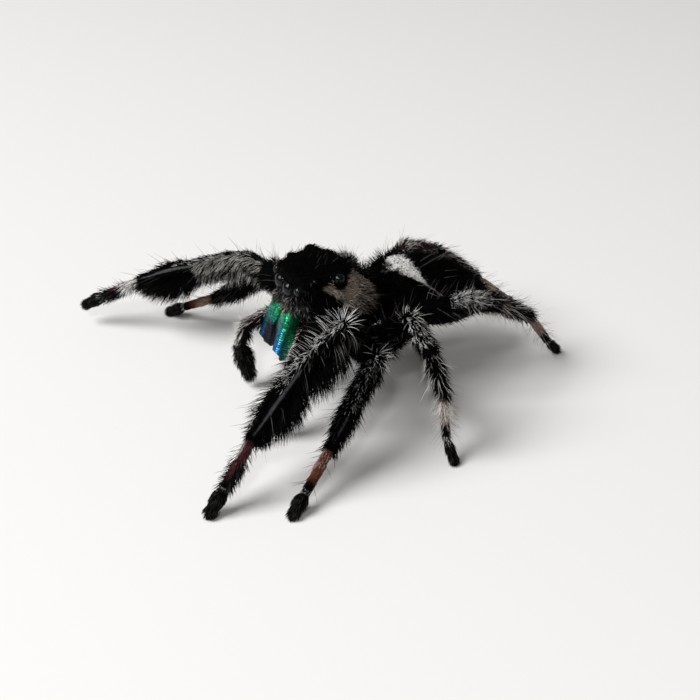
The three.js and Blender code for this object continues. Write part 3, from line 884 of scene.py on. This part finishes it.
def short_coat():
    """The velvet that covers all but the eyes and the jaws."""
    grow(205, "head waist", lambda at: cheek_amount(at) <= 0.5, lambda at: 0.15 + 0.1 * at.top(75), 40)
    # the cheek's hairs carry the painted shade too: brown-grey for the white patch
    grow(170, "head", cheek_amount, 0.27, 14, 6, speckled(CHEEK_IN_SHADE, 0.16), 0.036, 30, 3)
    grow(230, "abdomen spinneret", lambda at: band_amount(at) <= 0.5, 0.26, 30, width=0.034)
    grow(170, "abdomen", band_amount, 0.17, 14, 4, speckled(markings, 0.34), 0.04, 30)
    grow(170, LIMBS, hairy, 0.3, 34, width=0.034)
    grow(240, "metatarsus", EVERYWHERE, 0.2, 26, width=0.028)
    grow(240, PALP_ARM, EVERYWHERE, 0.26, 34)


def near_bare(at):
    """1 next to the smooth stripes, where hairs are short so that they leave them in sight."""
    far = np.where((at.pair == 1) & (at.angle > 0), 110, 66)
    striped = (at.pair == 1) | ((at.pair == 2) & (at.t > 0.4))
    return between(8, far, at.turned(), 4) * at.on("tibia") * striped


def medial(at):
    """1 on the first legs' sides towards the midline."""
    return (at.pair == 1) * between(0.35, 2.1, at.angle, 0.2)


def long_coat():
    """Longer hairs all round the limbs, and on the head's and the abdomen's backs."""
    def limbs(at):
        thin = 1 - 0.9 * (at.on("femur") & (at.pair == 4) & (at.t < 0.6))
        return (1 - near_bare(at)) * thin * (1 - 0.7 * at.top(60) * (at.pair == 1))

    def first_or(first, other):
        return lambda at: np.where(at.pair == 1, first, other)

    def foot_length(at):
        return 0.14 + 0.2 * smooth(0.1, 0.5, at.t)

    grow(90, LIMBS, limbs, first_or(0.4, 0.5), first_or(30, 44), width=0.03, steps=3)
    grow(30, "head", lambda at: at.top(90) * (cheek_amount(at) < 0.5), 0.34, 58, 20, BLACK, 0.024, steps=3)
    grow(90, "coxa", lambda at: at.pair == 2, 0.55, 50, 16, BLACK, 0.038, 16)
    grow(170, "coxa", lambda at: at.pair > 2, 0.85, 66, 16, BLACK, 0.042, 16, 3)
    grow(56, "head", lambda at: (1 - at.top(90)) * (at.point[:, 1] > 2.8), 0.55, 55, 16, BLACK, 0.04, 16)
    grow(50, "abdomen", lambda at: (band_amount(at) < 0.1) * (at.t > 0.1), 0.4, 50, steps=3)
    grow(110, "abdomen", lambda at: (band_amount(at) < 0.1) * (at.t < 0.1), 0.75, 84, 10, BLACK, 0.03,
         steps=3)
    grow(360, "palp_tarsus", EVERYWHERE, 0.42, 40, 16, speckled(GREY * 0.14, 0.8), 0.028, steps=3)
    grow(12, "palp_tarsus", EVERYWHERE, 0.5, 54, 16, GREY * 0.2, 0.018, steps=3)
    grow(520, "tarsus", lambda at: at.t > 0.1, foot_length, 32, 22, speckled(GREY * 0.1, 0.7), 0.032, 7)
    grow(190, PALP_ARM, lambda at: (at.side < 0) * (1 - at.top(80)), 0.5, 52, 16, BLACK, 0.032, steps=3)
    grow(190, PALP_ARM, lambda at: at.side > 0, 0.7, 58, 16, BLACK, 0.034, 16, 3)


def bushy(at):
    return np.sin(np.pi * np.clip(at.t * 0.86 + 0.1, 0, 1))


def front_leg_fringes():
    """The black brushes of the first legs, and the lesser ones of the second."""
    def beneath(at):
        full = 0.75 + 0.7 * np.where(at.on("patella"), 1, bushy(at))
        return np.where(at.side > 0, full, 0.5)

    def by_knee(at):
        knee = np.where(at.on("femur"), at.t > 0.85, at.t < 0.5)
        return (at.pair == 1) * between(-2.6, -1.1, at.angle, 0.3) * knee

    def foot_end(at):
        return (at.pair == 1) * smooth(0.35, 0.6, at.t) * (1 - 0.8 * at.top(60))

    grow(330, "tibia", lambda at: (at.pair == 1) * at.under(120), lambda at: 0.45 + 0.8 * bushy(at), 64, 22,
         width=0.034, stray=9, steps=3)
    grow(200, "tibia", lambda at: (at.pair == 1) * at.top(90) * (1 - near_bare(at)),
         lambda at: 0.22 + 0.3 * bushy(at), 46, 22, width=0.028, stray=9, steps=3)
    grow(260, "femur patella", lambda at: (at.pair == 1) * at.under(110) * (at.t > 0.2), beneath, 66, 24,
         width=0.036, stray=10, steps=4)
    grow(190, "femur patella", lambda at: medial(at) * (at.side > 0) * (at.t > 0.1), 0.75, 60, 20,
         width=0.034, stray=10, steps=3)
    grow(28, "patella femur", by_knee, 1.15, 50, 50, speckled(GREY * 0.5, 0.4), 0.024, 12, 5, 1.0)
    grow(260, "metatarsus", foot_end, 0.5, 46, 16, BLACK * 3, 0.03, 12, 3)
    grow(90, "metatarsus", lambda at: (at.pair == 1) * (1 - at.top(70)) * (at.t > 0.12), 0.55, 58, 16,
         GREY * 0.1, 0.024, 12, 3)
    grow(120, "tibia patella", lambda at: (at.pair == 2) * at.under(120), 0.6, 54, 22,
         width=0.032, stray=10, steps=3)


def laid_white():
    """White hairs that lie along the backs of the limbs."""
    def ridge(at):
        back = np.where(at.on("patella"), at.top(28), at.top(30) * at.root(0.2, 0.45))
        return (at.pair == 1) * back * np.where(at.side > 0, 1, 0.3)

    def combed(at):
        side = (at.pair == 1) * (at.side < 0) * between(0.2, 2.5, at.angle, 0.15)
        return side * np.where(at.on("femur"), at.t > 0.6, 1) * (1 - 0.4 * at.on("femur"))

    def flank(at):
        return (at.pair == 1) * between(-1.5, -0.3, at.angle, 0.1)

    def second(at):
        return (at.pair == 2) * at.top(130) * np.where(at.on("tibia"), at.root(0.15, 0.5), 1)

    def fourth(at):
        knee = np.where(at.on("femur"), smooth(0.72, 0.8, at.t), at.root(0.45, 0.7))
        return (at.pair == 4) * at.top(130) * np.where(at.side > 0, 1, 0.06) * knee

    def third(half, low, high):
        return lambda at: (at.pair == 3) * at.top(half) * at.root(low, high)

    grow(150, "patella tibia", ridge, 0.36, 15, 8, WHITE, 0.024, 12, 3)
    grow(20, "patella", flank, 0.5, 20, 10, GREY * 0.25, 0.022, 12, 3)
    grow(230, "patella femur", combed, lambda at: 0.6 + 0.5 * smooth(1.1, 2.2, at.angle), 24, 8,
         speckled(GREY * 1.5, 0.3), 0.021, 11, 3, 1.3)
    grow(90, "patella tibia", second, 0.24, 28, 14, PALE, 0.026, 8)
    grow(150, "patella", third(120, 0.8, 0.95), 0.3, 24, 10, WHITE, 0.025, 12, 3)
    grow(190, "tibia", third(80, 0.08, 0.2), 0.24, 22, 8, WHITE, 0.022, 14, 3)
    grow(9, "tibia", lambda at: (at.pair == 3) * at.top(110), 0.2, 20, 8, PALE, 0.02)
    grow(420, "patella femur", fourth, 0.3, 20, 10, WHITE, 0.025, 40, 3)
    grow(60, "patella tibia", lambda at: (at.pair == 4) * at.top(130), 0.26, 26, 8, PALE * 0.7, 0.022)


def standing_white():
    """White hairs that stand up about the knees and, on the first legs, along the ridge beyond them."""
    def knee(at):
        return np.where(at.on("femur"), at.t > 0.9, at.t < 0.14)

    def left(at):
        return (at.pair == 1) * np.where(at.side > 0, 1, 0.15)

    grow(38, "patella femur", lambda at: left(at) * at.top(70) * knee(at), 0.85, 80, 30, WHITE, 0.024, 15, 4)
    grow(36, "patella tibia", lambda at: left(at) * at.top(34) * np.where(at.on("tibia"), at.t < 0.3, 1),
         lambda at: 0.85 - 0.4 * at.on("tibia") - 0.2 * at.t, 84, 26, WHITE, 0.023, 15, 4)
    grow(44, "patella femur", lambda at: (at.pair == 2) * at.top(110) * knee(at) * (at.angle < 0.3),
         0.75, 60, 20, WHITE, 0.027, 36, 4)
    grow(60, "patella femur", lambda at: (at.pair > 2) * at.top(90) * knee(at),
         lambda at: np.where(at.pair == 3, 0.65, 0.45), 56, 40, PALE, 0.024, 22, 4)
    grow(60, PALP_ARM, lambda at: (at.side < 0) * at.top(80), 0.6, 64, 16, PALE, 0.022, steps=3)


def foot_white():
    """Pale scales at the roots of the feet's two segments, and on the arms of the palps."""
    def joint(at):
        root = at.t < 0.14 + 0.2 * ((at.pair == 3) | (medial(at) > 0))
        return np.where(at.on("tarsus"), root, (at.t > 0.94) & (at.pair > 1))

    def tone(at):
        return np.where((at.pair > 1)[:, None], PALE * 0.8, PINK * 0.5)

    def third(low, high):
        return lambda at: (at.pair == 3) * at.root(low, high)

    grow(110, "metatarsus", lambda at: at.top(120) * at.root(0.3, 0.6), 0.24, 14, 8, tone, 0.022, 12)
    grow(230, "metatarsus", lambda at: medial(at) * between(0.06, 0.5, at.t, 0.05), 0.5, 30, 16,
         WHITE, 0.03, 12, 3, 1.2)
    grow(200, "tarsus metatarsus", joint, 0.16, 20, 8, PALE, 0.024, 18)
    grow(150, "metatarsus", third(0.35, 0.6), 0.34, 24, 20, PALE, 0.022, 18, 3)
    grow(70, "metatarsus", third(0.5, 0.8), 0.62, 56, 20, PALE * 0.8, 0.02, 18, 4)
    grow(34, "tibia", lambda at: (at.pair == 3) * (1 - at.top(70)), 0.7, 52, 20, PALE * 0.6, 0.019, 18, 4)
    grow(170, PALP_ARM, lambda at: at.top(90) * (at.side < 0), 0.24, 18, 8, PALE, 0.024, 18)


EYE_TUFT = vec(1.66, 1.8, 0.6)  # the middle of a small grey tuft ahead of each hind eye


def face_hairs():
    """Dark grey fuzz round the front eyes, and the fringe that hangs from the face over the jaws."""
    def face(below):
        return lambda at: (1 - smooth(0.55, 0.9, at.point[:, 1])) * at.on("head") * (at.point[:, 2] < below)

    def by_eye(at):
        mirrored = np.hstack([np.abs(at.point[:, :1]), at.point[:, 1:]])
        return np.linalg.norm(mirrored - EYE_TUFT, axis=1) < 0.2

    grow(300, "head", face(0.34), 0.19, 46, 10, speckled(FUZZ * 0.26, 0.5), 0.024, 26)
    grow(12, "head", face(0.4), 0.24, 36, 10, GREY * 1.4, 0.02, 30, 3)
    grow(90, "head", by_eye, 0.16, 50, 10, GREY, 0.03, 26)
    grow(300, "head", face(-0.42), 0.42, 18, 8, speckled(FUZZ * 0.42, 0.5), 0.026, 16, 3)
    grow(44, "head", face(-0.5), 0.36, 40, 8, GREY * 1.5, 0.018, 30, 4)


def bristles():
    """Sparse long bristles, dark on the front legs and pale on the others."""
    def tone(at):
        return np.where(((at.pair > 2) & at.on("patella tibia"))[:, None], PALE * 0.8, GREY * 0.3)

    grow(3.2, LIMBS, lambda at: 1 - at.on("coxa"), 1.15, 62, 20, tone, 0.02, 12, 4)
    grow(20, "metatarsus tibia", lambda at: np.where(at.on("tibia"), 0.8, 1) * (at.pair > 2), 0.95, 58, 24,
         PALE * 0.55, 0.022, 12, 4)
    grow(6, "metatarsus tibia", lambda at: (at.pair < 3) * (1 - near_bare(at)), 0.8, 60, 24,
         GREY * 0.15, 0.019, 12, 4)
    grow(1.6, "abdomen", EVERYWHERE, 1.0, 55, 20, GREY * 0.4, 0.022, 12, 4)
    grow(1.5, "head", lambda at: at.top(110), 0.6, 64, 20, GREY * 0.2, 0.02, 12, 4)


def clothe():
    short_coat()
    long_coat()
    front_leg_fringes()
    laid_white()
    standing_white()
    foot_white()
    face_hairs()
    bristles()
    return [coat.piece(name) for name, coat in coats.items()]


# ---------------- eyes, jaws, fangs and claws

def make_eyes():
    made = []
    for letter, side in SIDES.items():
        for kind, (look, _) in EYES.items():
            node = f"eye_{kind}_{letter}"
            rings = ball_rings(eye_centre(kind, letter), eye_radius(kind), look * (side, 1, 1), 1.0, 64, 40)
            eye = piece_through(f"{node}_ball", rings)
            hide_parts(node)
            made.append(eye)
    return made


JAW_HALF = vec(0.5, 0.42)
JAW_SQUARE = 0.6  # exponent of its section
JAW_CUT = 1.5  # how far the slanting cut at its end takes off its front, in half depths
JAW_BEVEL = 1.7  # how far their inner front edges are taken off at the end
JAW_BEVEL_START, JAW_CUT_START, JAW_ROUND_START = 0.36, 0.86, 0.97  # shares of its length
JAW_ROUND = 0.0303  # the share that is rounded off, and a little more, to leave the end blunt
JAW_SWELL, JAW_TAPER = 0.2, 0.04  # in half sizes
JAW_RIPPLE, JAW_RIPPLE_LENGTH = 0.012, 0.11
JAW_GAP = 0.025  # between each jaw and the midline


def jaw_frame(side):
    base, tip = JAW_BASE * (side, 1, 1), JAW_TIP * (side, 1, 1)
    axis = unit(tip - base)
    front = square_to(vec(0, -1, 0), axis)
    return base, tip, axis, front, np.cross(axis, front)


def make_jaw(letter, side):
    """A swollen, boxy and finely rippled cylinder, cut slantwise at its end."""
    base, tip, axis, front, across = jaw_frame(side)
    length = np.linalg.norm(tip - base)
    cos, sin = np.cos(turns(96)), np.sin(turns(96))
    rings = []
    for t in np.linspace(0, 1, 110):
        full = 0.84 + JAW_SWELL * math.sin(math.pi * t ** 0.8) - JAW_TAPER * t
        full *= (1 - max(0.0, (t - JAW_ROUND_START) / JAW_ROUND) ** 3) ** 0.5
        ripple = JAW_RIPPLE * math.sin(t * length * 2 * math.pi / JAW_RIPPLE_LENGTH) * smooth(0.3, 0.5, t)
        wide = (JAW_HALF[0] * full + ripple) * squared(cos, JAW_SQUARE)
        deep = (JAW_HALF[1] * full + ripple) * squared(sin, JAW_SQUARE)
        cut = JAW_CUT * max(0.0, t - JAW_CUT_START) / (1 - JAW_CUT_START)
        inward = side * wide / JAW_HALF[0] + 0.15
        bevel = JAW_BEVEL * max(0.0, t - JAW_BEVEL_START) * inward
        deep = np.minimum(deep, JAW_HALF[1] * np.minimum(1 - cut, 1.1 - bevel))
        ring = base + axis * t * length + wide[:, None] * across + deep[:, None] * front
        ring[:, 0] = side * np.maximum(ring[:, 0] * side, JAW_GAP)
        rings.append(ring)
    jaw = piece_through(f"jaw_{letter}", rings)
    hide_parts(f"chelicera_{letter}")
    return jaw


HORN_POINT = 0.004  # radius of the blunt points of fangs and claws


def horn(start, middle, end, radius, sides=16, stops=20):
    """Rings of a curved horn that tapers to a point."""
    angle = turns(sides)[:, None]
    made = []
    for t in np.linspace(0, 1, stops):
        place = (1 - t) ** 2 * start + 2 * t * (1 - t) * middle + t * t * end
        run = unit((1 - t) * (middle - start) + t * (end - middle))
        side = square_to(vec(0.2, 0.3, 0.9), run)
        thick = radius * (1 - t) ** 0.7 + HORN_POINT
        made.append(place + thick * (np.cos(angle) * side + np.sin(angle) * np.cross(run, side)))
    return made


FANG_ROOT = vec(0.22, 0.1, 0)  # of the left fang, from its jaw's end
FANG_REACH = vec(-0.7, 0.3, -0.02)  # from its root to its point
FANG_SUNK, FANG_BOW, FANG_RADIUS = 0.05, 0.16, 0.12


def make_fang(letter, side):
    _, tip, axis, _, _ = jaw_frame(side)
    start = tip - axis * FANG_SUNK + FANG_ROOT * (side, 1, 1)
    end = start + FANG_REACH * (side, 1, 1)
    bow = (start + end) / 2 + axis * FANG_BOW
    fang = piece_through(f"fang_{letter}_horn", horn(start, bow, end, FANG_RADIUS))
    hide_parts(f"fang_{letter}")
    return fang


CLAW_RADIUS, CLAW_ASIDE = 0.028, 0.05
# How far a claw's root, bend and point lie along the foot and above it, the last two from its root.
CLAW_ROOT, CLAW_BEND, CLAW_POINT = 0.08, (0.12, 0.03), (0.2, -0.06)
CLAW_CLEAR = 0.02  # of the ground


def make_claws():
    """Two small hooks at the end of each leg."""
    hooks = []
    for foot in (p for p in parts if p.kind == "tarsus"):
        for aside in (-1, 1):
            start = foot.end + foot.across * aside * CLAW_ASIDE + foot.axis * CLAW_ROOT
            bend, point = (start + foot.axis * on + foot.up * up for on, up in (CLAW_BEND, CLAW_POINT))
            point[2] = max(point[2], GROUND + CLAW_CLEAR)
            hooks.append(horn(start, bend, point, CLAW_RADIUS, 8, 9))
    return piece_through("claws", *hooks)


# ---------------- materials

class Paint:
    """A material being made: short calls to add nodes and join them."""

    def __init__(self, name):
        self.material = bpy.data.materials.new(name)
        self.material.use_nodes = True
        self.tree = self.material.node_tree
        self.shader = self.tree.nodes["Principled BSDF"]

    def feed(self, socket, value):
        if isinstance(value, bpy.types.NodeSocket):
            self.tree.links.new(value, socket)
        else:
            socket.default_value = value

    def set(self, **inputs):
        for name, value in inputs.items():
            self.feed(self.shader.inputs[name.replace("_", " ")], value)

    def node(self, kind, output, inputs=None, **settings):
        """The named output of a new node."""
        made = self.tree.nodes.new(f"ShaderNode{kind}")
        for name, value in settings.items():
            setattr(made, name, value)
        for name, value in (inputs or {}).items():
            self.feed(made.inputs[name], value)
        return made.outputs[output]

    def place(self):
        return self.node("TexCoord", "Object")

    def math(self, operation, *values):
        return self.node("Math", "Value", dict(enumerate(values)), operation=operation)

    def ranged(self, value, low, high, to_low=0.0, to_high=1.0, clamp=True):
        """A value that runs from low to high, made to run from to_low to to_high."""
        inputs = {"Value": value, "From Min": low, "From Max": high, "To Min": to_low, "To Max": to_high}
        return self.node("MapRange", "Result", inputs, clamp=clamp)

    def mix(self, none, full, amount):
        """A colour between the ones for none and for all of an amount."""
        return self.node("Mix", "Result", {"Factor": amount, "A": none, "B": full}, data_type="RGBA")

    def noise(self, size, detail=3.0):
        """Noise whose blotches are about size mm across."""
        inputs = {"Vector": self.place(), "Scale": 1 / (size * MM), "Detail": detail}
        return self.node("TexNoise", "Fac", inputs)

    def bump(self, height, depth, strength=1.0):
        inputs = {"Height": height, "Distance": depth * MM, "Strength": strength}
        return self.node("Bump", "Normal", inputs)

    def shade(self, colour, amount, low, high):
        """A colour made darker and lighter by an amount from 0 to 1."""
        factor = self.ranged(amount, 0.3, 0.7, low, high)
        return self.node("VectorMath", "Vector", {0: colour, "Scale": factor}, operation="SCALE")


def coat_paint(name, roughness, fine, depth, gloss):
    paint = Paint(name)
    coat = paint.node("Attribute", "Color", attribute_name="coat")
    paint.set(
        Base_Color=paint.shade(coat, paint.noise(fine), 0.72, 1.25),
        Roughness=roughness,
        Normal=paint.bump(paint.noise(fine * 0.5), depth),
        Specular_IOR_Level=gloss,
    )
    return paint.material


def eye_paint():
    paint = Paint("eye")
    tone = paint.mix((0.0015, 0.0015, 0.002, 1), (0.004, 0.006, 0.006, 1), paint.noise(0.5))
    paint.set(Base_Color=tone, Roughness=0.05, Specular_IOR_Level=0.24)
    return paint.material


# From the back and the root of a jaw to its front and end, green turns to blue and then to black.
JAW_COLOURS = {0.3: (0.03, 0.42, 0.17), 0.44: (0.012, 0.2, 0.12), 0.58: (0.008, 0.13, 0.14),
               0.72: (0.012, 0.1, 0.28), 0.9: (0.012, 0.06, 0.2)}
JAW_BACK_COLOUR, JAW_END_COLOUR = (0.03, 0.3, 0.13, 1), (0.008, 0.01, 0.016, 1)
# painted shade: the lower inner sides of the jaws, where they face each other
JAW_INNER_SHADE_COLOUR = (0.004, 0.006, 0.014, 1)


def jaw_paint():
    """Metallic green, that turns to blue towards the front and the end, with fine pale specks, and with
    painted shade, near black, on the lower inner sides.
    """
    paint = Paint("jaw")
    place = paint.node("SeparateXYZ", "X", {"Vector": paint.place()})
    x, y, z = place.node.outputs
    base, tip = (FACE + JAW_BASE) * MM, (FACE + JAW_TIP) * MM
    down = paint.ranged(z, base[2], tip[2], clamp=False)
    ahead = paint.math("SUBTRACT", paint.ranged(down, 0, 1, base[1], tip[1], clamp=False), y)
    lengthwise = paint.math("MULTIPLY_ADD", down, 0.62, 0.0)
    facing = paint.math("MULTIPLY_ADD", ahead, 0.3 / (JAW_HALF[1] * MM), lengthwise)
    wavy = paint.math("SUBTRACT", paint.noise(0.3), 0.5)
    ramp = paint.node("ValToRGB", "Color", {"Fac": paint.math("MULTIPLY_ADD", wavy, 0.5, facing)})
    stops = ramp.node.color_ramp.elements
    stops[0].position, stops[0].color = 0.1, JAW_BACK_COLOUR
    stops[1].position, stops[1].color = 1.0, JAW_END_COLOUR
    for stop, colour in JAW_COLOURS.items():
        stops.new(stop).color = (*colour, 1)
    outward = paint.math("ABSOLUTE", paint.math("SUBTRACT", x, FACE[0] * MM))
    spine = paint.ranged(down, 0, 1, JAW_BASE[0] * MM, JAW_TIP[0] * MM, clamp=False)
    # painted shade on each jaw's lower inner side, where the two jaws meet
    inner = paint.ranged(paint.math("SUBTRACT", spine, outward), -0.02 * MM, 0.14 * MM)
    tone = paint.mix(ramp, JAW_INNER_SHADE_COLOUR, paint.math("MULTIPLY", inner, paint.ranged(down, 0.36, 0.5)))
    stretched = paint.node("Mapping", "Vector", {"Vector": paint.place(), "Scale": (0.35, 1, 1)})
    cells = paint.node("TexVoronoi", "Distance", {"Vector": stretched, "Scale": 1 / (0.07 * MM)})
    paint.set(
        Base_Color=paint.shade(tone, cells, 2.0, 0.5),
        Metallic=0.9,
        Roughness=paint.ranged(cells, 0, 1, 0.18, 0.4),
        Normal=paint.bump(cells, 0.02, 0.6),
        Coat_Weight=0.15,
        Coat_Roughness=0.12,
    )
    return paint.material


def horn_paint():
    paint = Paint("horn")
    tone = paint.mix((0.012, 0.006, 0.004, 1), (0.05, 0.022, 0.014, 1), paint.noise(0.12))
    paint.set(Base_Color=tone, Roughness=0.28, Normal=paint.bump(paint.noise(0.05), 0.004))
    return paint.material


def finish(pieces, material):
    """Smooths and paints pieces, and puts them on the row's frame, in metres."""
    for piece in pieces:
        mesh = piece.data
        mesh.polygons.foreach_set("use_smooth", np.ones(len(mesh.polygons), bool))
        mesh.materials.clear()
        mesh.materials.append(material)
        mesh.vertices.foreach_set("co", ((read(mesh.vertices, "co") + FACE) * MM).ravel())
        mesh.update()
        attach(piece, "root")


def flesh_nodes():
    shells = ("eye_", "chelicera_", "fang_")
    return [n for n in frame["nodes"] if not n.startswith(shells)]


SKIN_SHADE = 0.5  # of the hairs' colour, in the skin between them
ground = Ground()
set_colour(skin.data, markings(Places(skin_points)) * SKIN_SHADE)
unwrap_skin()
coat_pieces = clothe()
eyes = make_eyes()
jaws = [make_jaw(letter, side) for letter, side in SIDES.items()]
fangs = [make_fang(letter, side) for letter, side in SIDES.items()]
claws = make_claws()
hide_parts(*flesh_nodes())

finish([skin], coat_paint("skin", 0.7, 0.1, 0.02, 0.03))
finish(coat_pieces, coat_paint("hair", 0.5, 0.3, 0.003, 0.045))
finish(eyes, eye_paint())
finish(jaws, jaw_paint())
finish([*fangs, claws], horn_paint())


# ---------------- floor, light and camera

CAMERA_TURN, CAMERA_RISE = math.radians(65.19), math.radians(27.94)
CAMERA_AWAY = 65.0  # from what it looks at
CAMERA_AIM = vec(0, 3.0, 0)
CAMERA_LENS = 70.2
CAMERA_SHIFT = 0.0137, -0.1113
CAMERA_CLIP = 0.002, 10  # metres
FLOOR_HALF = 2  # metres
SKY_COLOUR, SKY_STRENGTH = (1, 0.94, 0.88, 1), 0.13
# Square lamps: the way to each from the spider, its size in metres and its watts.
LAMPS = {"window": ((-0.04, -1.0, 1.02), 0.23, 1.86), "front": ((0.7, -0.45, 0.75), 0.03, 0.26)}
LAMP_AIM, LAMP_AWAY = (0, 2, -2), 0.38


def frame_place(point):
    return Vector((np.asarray(point) + FACE) * MM)


def make_floor():
    corners = [(FLOOR_HALF * x, FLOOR_HALF * y, 0) for x, y in ((-1, -1), (1, -1), (1, 1), (-1, 1))]
    floor = piece_with("floor", corners, [(0, 1, 2, 3)])
    paint = Paint("floor")
    paint.set(Base_Color=(0.86, 0.85, 0.84, 1), Roughness=0.6, Specular_IOR_Level=0.1)
    floor.data.materials.append(paint.material)


def hold(name, data, place, way, looks_along):
    """Puts a camera or a lamp at a place, turned a way."""
    made = piece_of(name, data)
    made.location = place
    made.rotation_mode = "QUATERNION"
    made.rotation_quaternion = way.to_track_quat(looks_along, "Y")
    return made


def make_camera():
    lens = bpy.data.cameras.new("camera")
    lens.lens = CAMERA_LENS
    lens.shift_x, lens.shift_y = CAMERA_SHIFT
    lens.clip_start, lens.clip_end = CAMERA_CLIP
    back = Vector((math.sin(CAMERA_TURN) * math.cos(CAMERA_RISE),
                   -math.cos(CAMERA_TURN) * math.cos(CAMERA_RISE), math.sin(CAMERA_RISE)))
    place = frame_place(CAMERA_AIM) + back * CAMERA_AWAY * MM
    bpy.context.scene.camera = hold("camera", lens, place, -back, "-Z")


def make_lights():
    world = bpy.data.worlds.new("studio")
    bpy.context.scene.world = world
    world.use_nodes = True
    sky = world.node_tree.nodes["Background"]
    sky.inputs["Color"].default_value = SKY_COLOUR
    sky.inputs["Strength"].default_value = SKY_STRENGTH
    for name, (way, size, energy) in LAMPS.items():
        add_lamp(name, way, size, energy)


def add_lamp(name, way, size, energy):
    lamp = bpy.data.lights.new(name, "AREA")
    lamp.shape, lamp.size, lamp.energy = "SQUARE", size, energy
    way = Vector(way).normalized()
    hold(name, lamp, frame_place(LAMP_AIM) + way * LAMP_AWAY, way, "Z")


make_floor()
make_camera()
make_lights()
bpy.context.scene.view_settings.view_transform = "Standard"
